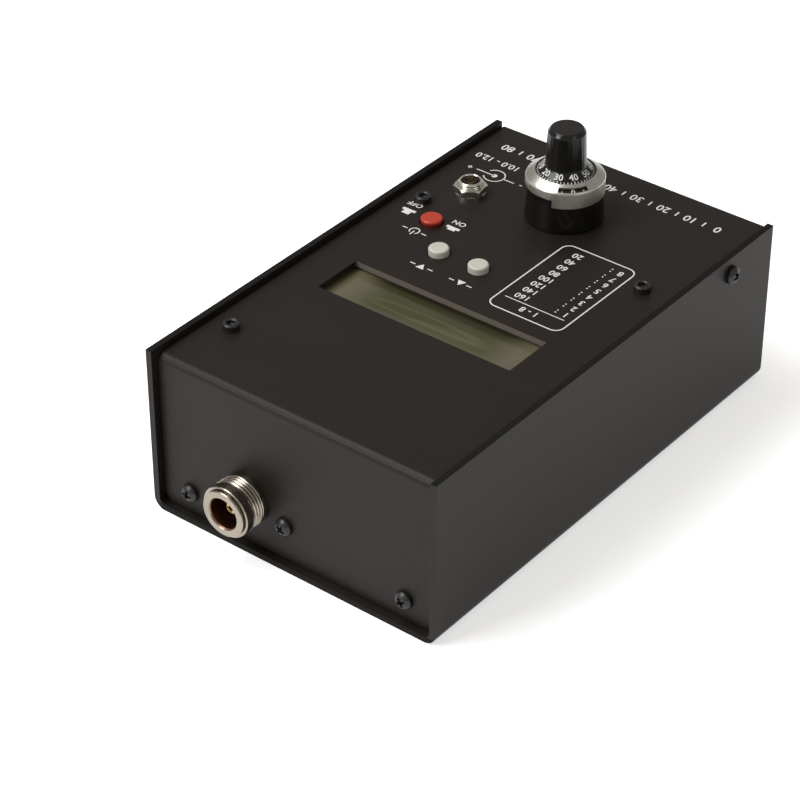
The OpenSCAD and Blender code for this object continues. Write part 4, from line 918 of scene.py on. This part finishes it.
dialMarks = {
    "thick": 0.02, "lift": 0.01,
    "ticks": 50, "tickWidth": 0.24, "tickFrom": 0.08, "shortTick": 0.6, "longTick": 0.9,
    "numbers": 10, "numberSize": 2.75, "numberInset": 1.5, "numberLift": 0.012,
    "counterCount": 20, "counterSize": 2.6, "counterRadius": 10.5, "counterFirst": 137.8, "counterTick": (0.1, 0.5),
    "coneInner": 8.9, "coneRise": 1.7, "coneRun": 2.85,      # the counting ring's cone
}


def aroundCone(shape, angle, radius, height, slope):
    # x runs along the circle, y climbs the cone inwards, and z stands square to it; slope is rise over run
    p = shape[0]
    run, rise = 1 / math.hypot(1, slope), slope / math.hypot(1, slope)
    r = radius - p[:, 1] * run + p[:, 2] * rise
    h = height + p[:, 1] * rise + p[:, 2] * run
    t = math.radians(angle) + p[:, 0] / radius
    return np.stack([dialX + r * np.cos(t), dialY + r * np.sin(t), panelZ + h], -1), shape[1]


def knobMarks(d, k):
    # ticks stand on the skirt's edge, every fifth one longer, and the numbers above them
    heap = Heap()
    slope = (k["skirtTop"] - k["skirtEdge"]) / (k["skirt"] - k["foot"] - 0.35)
    w = d["tickWidth"] / 2
    for i in range(d["ticks"]):
        long = d["shortTick"] if i % 5 else d["longTick"]
        tick = plate([(-w, d["tickFrom"]), (w, d["tickFrom"]), (w, long), (-w, long)], d["thick"])
        heap.add(*aroundCone(tick, 360 * i / d["ticks"], k["skirt"], k["skirtEdge"] + d["lift"], slope))
    radius, height = k["skirt"] - d["numberInset"], k["skirtEdge"] + d["numberInset"] * slope + d["numberLift"]
    for i in range(d["numbers"]):
        number = writing(str(i * 10), d["numberSize"], d["thick"])
        heap.add(*aroundCone(number, 360 * i / d["numbers"], radius, height, slope))
    return heap.piece("knob_scale_print", "print", "knob")


def counterMarks(d):
    # ten digits with a tick between each two, along the middle of the cone
    heap = Heap()
    slope = d["coneRise"] / d["coneRun"]
    top = highest("counting_ring")[2] - panelZ      # the cone's inner edge
    height = top - (d["counterRadius"] - d["coneInner"]) * slope + d["numberLift"]
    for i in range(d["counterCount"]):
        tick = plate(bar(*d["counterTick"]), d["thick"])
        mark = tick if i % 2 else writing(str(i // 2), d["counterSize"], d["thick"])
        angle = d["counterFirst"] + 360 * i / d["counterCount"]
        heap.add(*aroundCone(mark, angle, d["counterRadius"], height, slope))
    return heap.piece("counter_print", "print", "counter")


knobMarks(dialMarks, knob)
counterMarks(dialMarks)
print("printed marks made")


stage = {
    "floorTone": 0.80, "glow": 0.55, "world": 0.40,
    "lamps": [
        # name, place in metres, size, watts
        ("lamp_high", (0.52, 0.28, 1.15), (0.65, 0.65), 9.5),
        ("lamp_left", (0.5, 1.05, 0.8), (0.5, 0.5), 8.0),
        ("lamp_right", (-1.2, 0.1, 0.8), (0.4, 0.5), 1.1),
    ],
}


def makeFloor(s):
    size = 6.0
    mesh = bpy.data.meshes.new("floor")
    mesh.from_pydata([(-size, -size, 0), (size, -size, 0), (size, size, 0), (-size, size, 0)], [], [(0, 1, 2, 3)])
    floor = bpy.data.objects.new("floor", mesh)
    bpy.context.scene.collection.objects.link(floor)
    look = bpy.data.materials.new("floor")
    look.use_nodes = True
    tree = look.node_tree
    tree.nodes.clear()
    w = Wire(tree)
    seen = w.node("ShaderNodeLightPath", output=0) + w.node("ShaderNodeLightPath", output=3)    # camera, glossy
    seen = w.math("ADD", seen, w.node("ShaderNodeLightPath", output=6), clamp=True)             # transmission
    tone = w.blend(w.noise(900.0, 2.0), rgb([s["floorTone"] * 0.99] * 3), rgb([s["floorTone"] * 1.01] * 3))
    matte = w.node("ShaderNodeBsdfDiffuse", inputs={0: tone})
    glow = w.node("ShaderNodeEmission", inputs={0: (1, 1, 1, 1), 1: seen * s["glow"]})
    both = w.node("ShaderNodeAddShader", inputs={0: matte, 1: glow})
    w.node("ShaderNodeOutputMaterial", inputs={0: both})
    mesh.materials.append(look)


def makeLight(s):
    world = bpy.data.worlds.new("world")
    bpy.context.scene.world = world
    world.use_nodes = True
    world.node_tree.nodes["Background"].inputs[0].default_value = (1.0, 0.965, 0.91, 1)
    world.node_tree.nodes["Background"].inputs[1].default_value = s["world"]
    for name, place, size, power in s["lamps"]:
        data = bpy.data.lights.new(name, "AREA")
        data.shape = "RECTANGLE"
        data.size, data.size_y = size
        data.energy = power
        lamp = bpy.data.objects.new(name, data)
        back = np.array(place) - np.array([0, 0, 0.03])
        back /= np.linalg.norm(back)
        side = np.cross([0.01, 1, 0] if abs(back[2]) > 0.95 else [0, 0, 1], back)
        side /= np.linalg.norm(side)
        turnedTo = np.eye(4)
        turnedTo[:3, :3] = np.stack([side, np.cross(back, side), back], -1)
        turnedTo[:3, 3] = place
        lamp.matrix_world = Matrix(turnedTo.tolist())
        bpy.context.scene.collection.objects.link(lamp)


makeFloor(stage)
makeLight(stage)
bpy.context.scene.view_settings.view_transform = "Standard"
print("floor and light made")
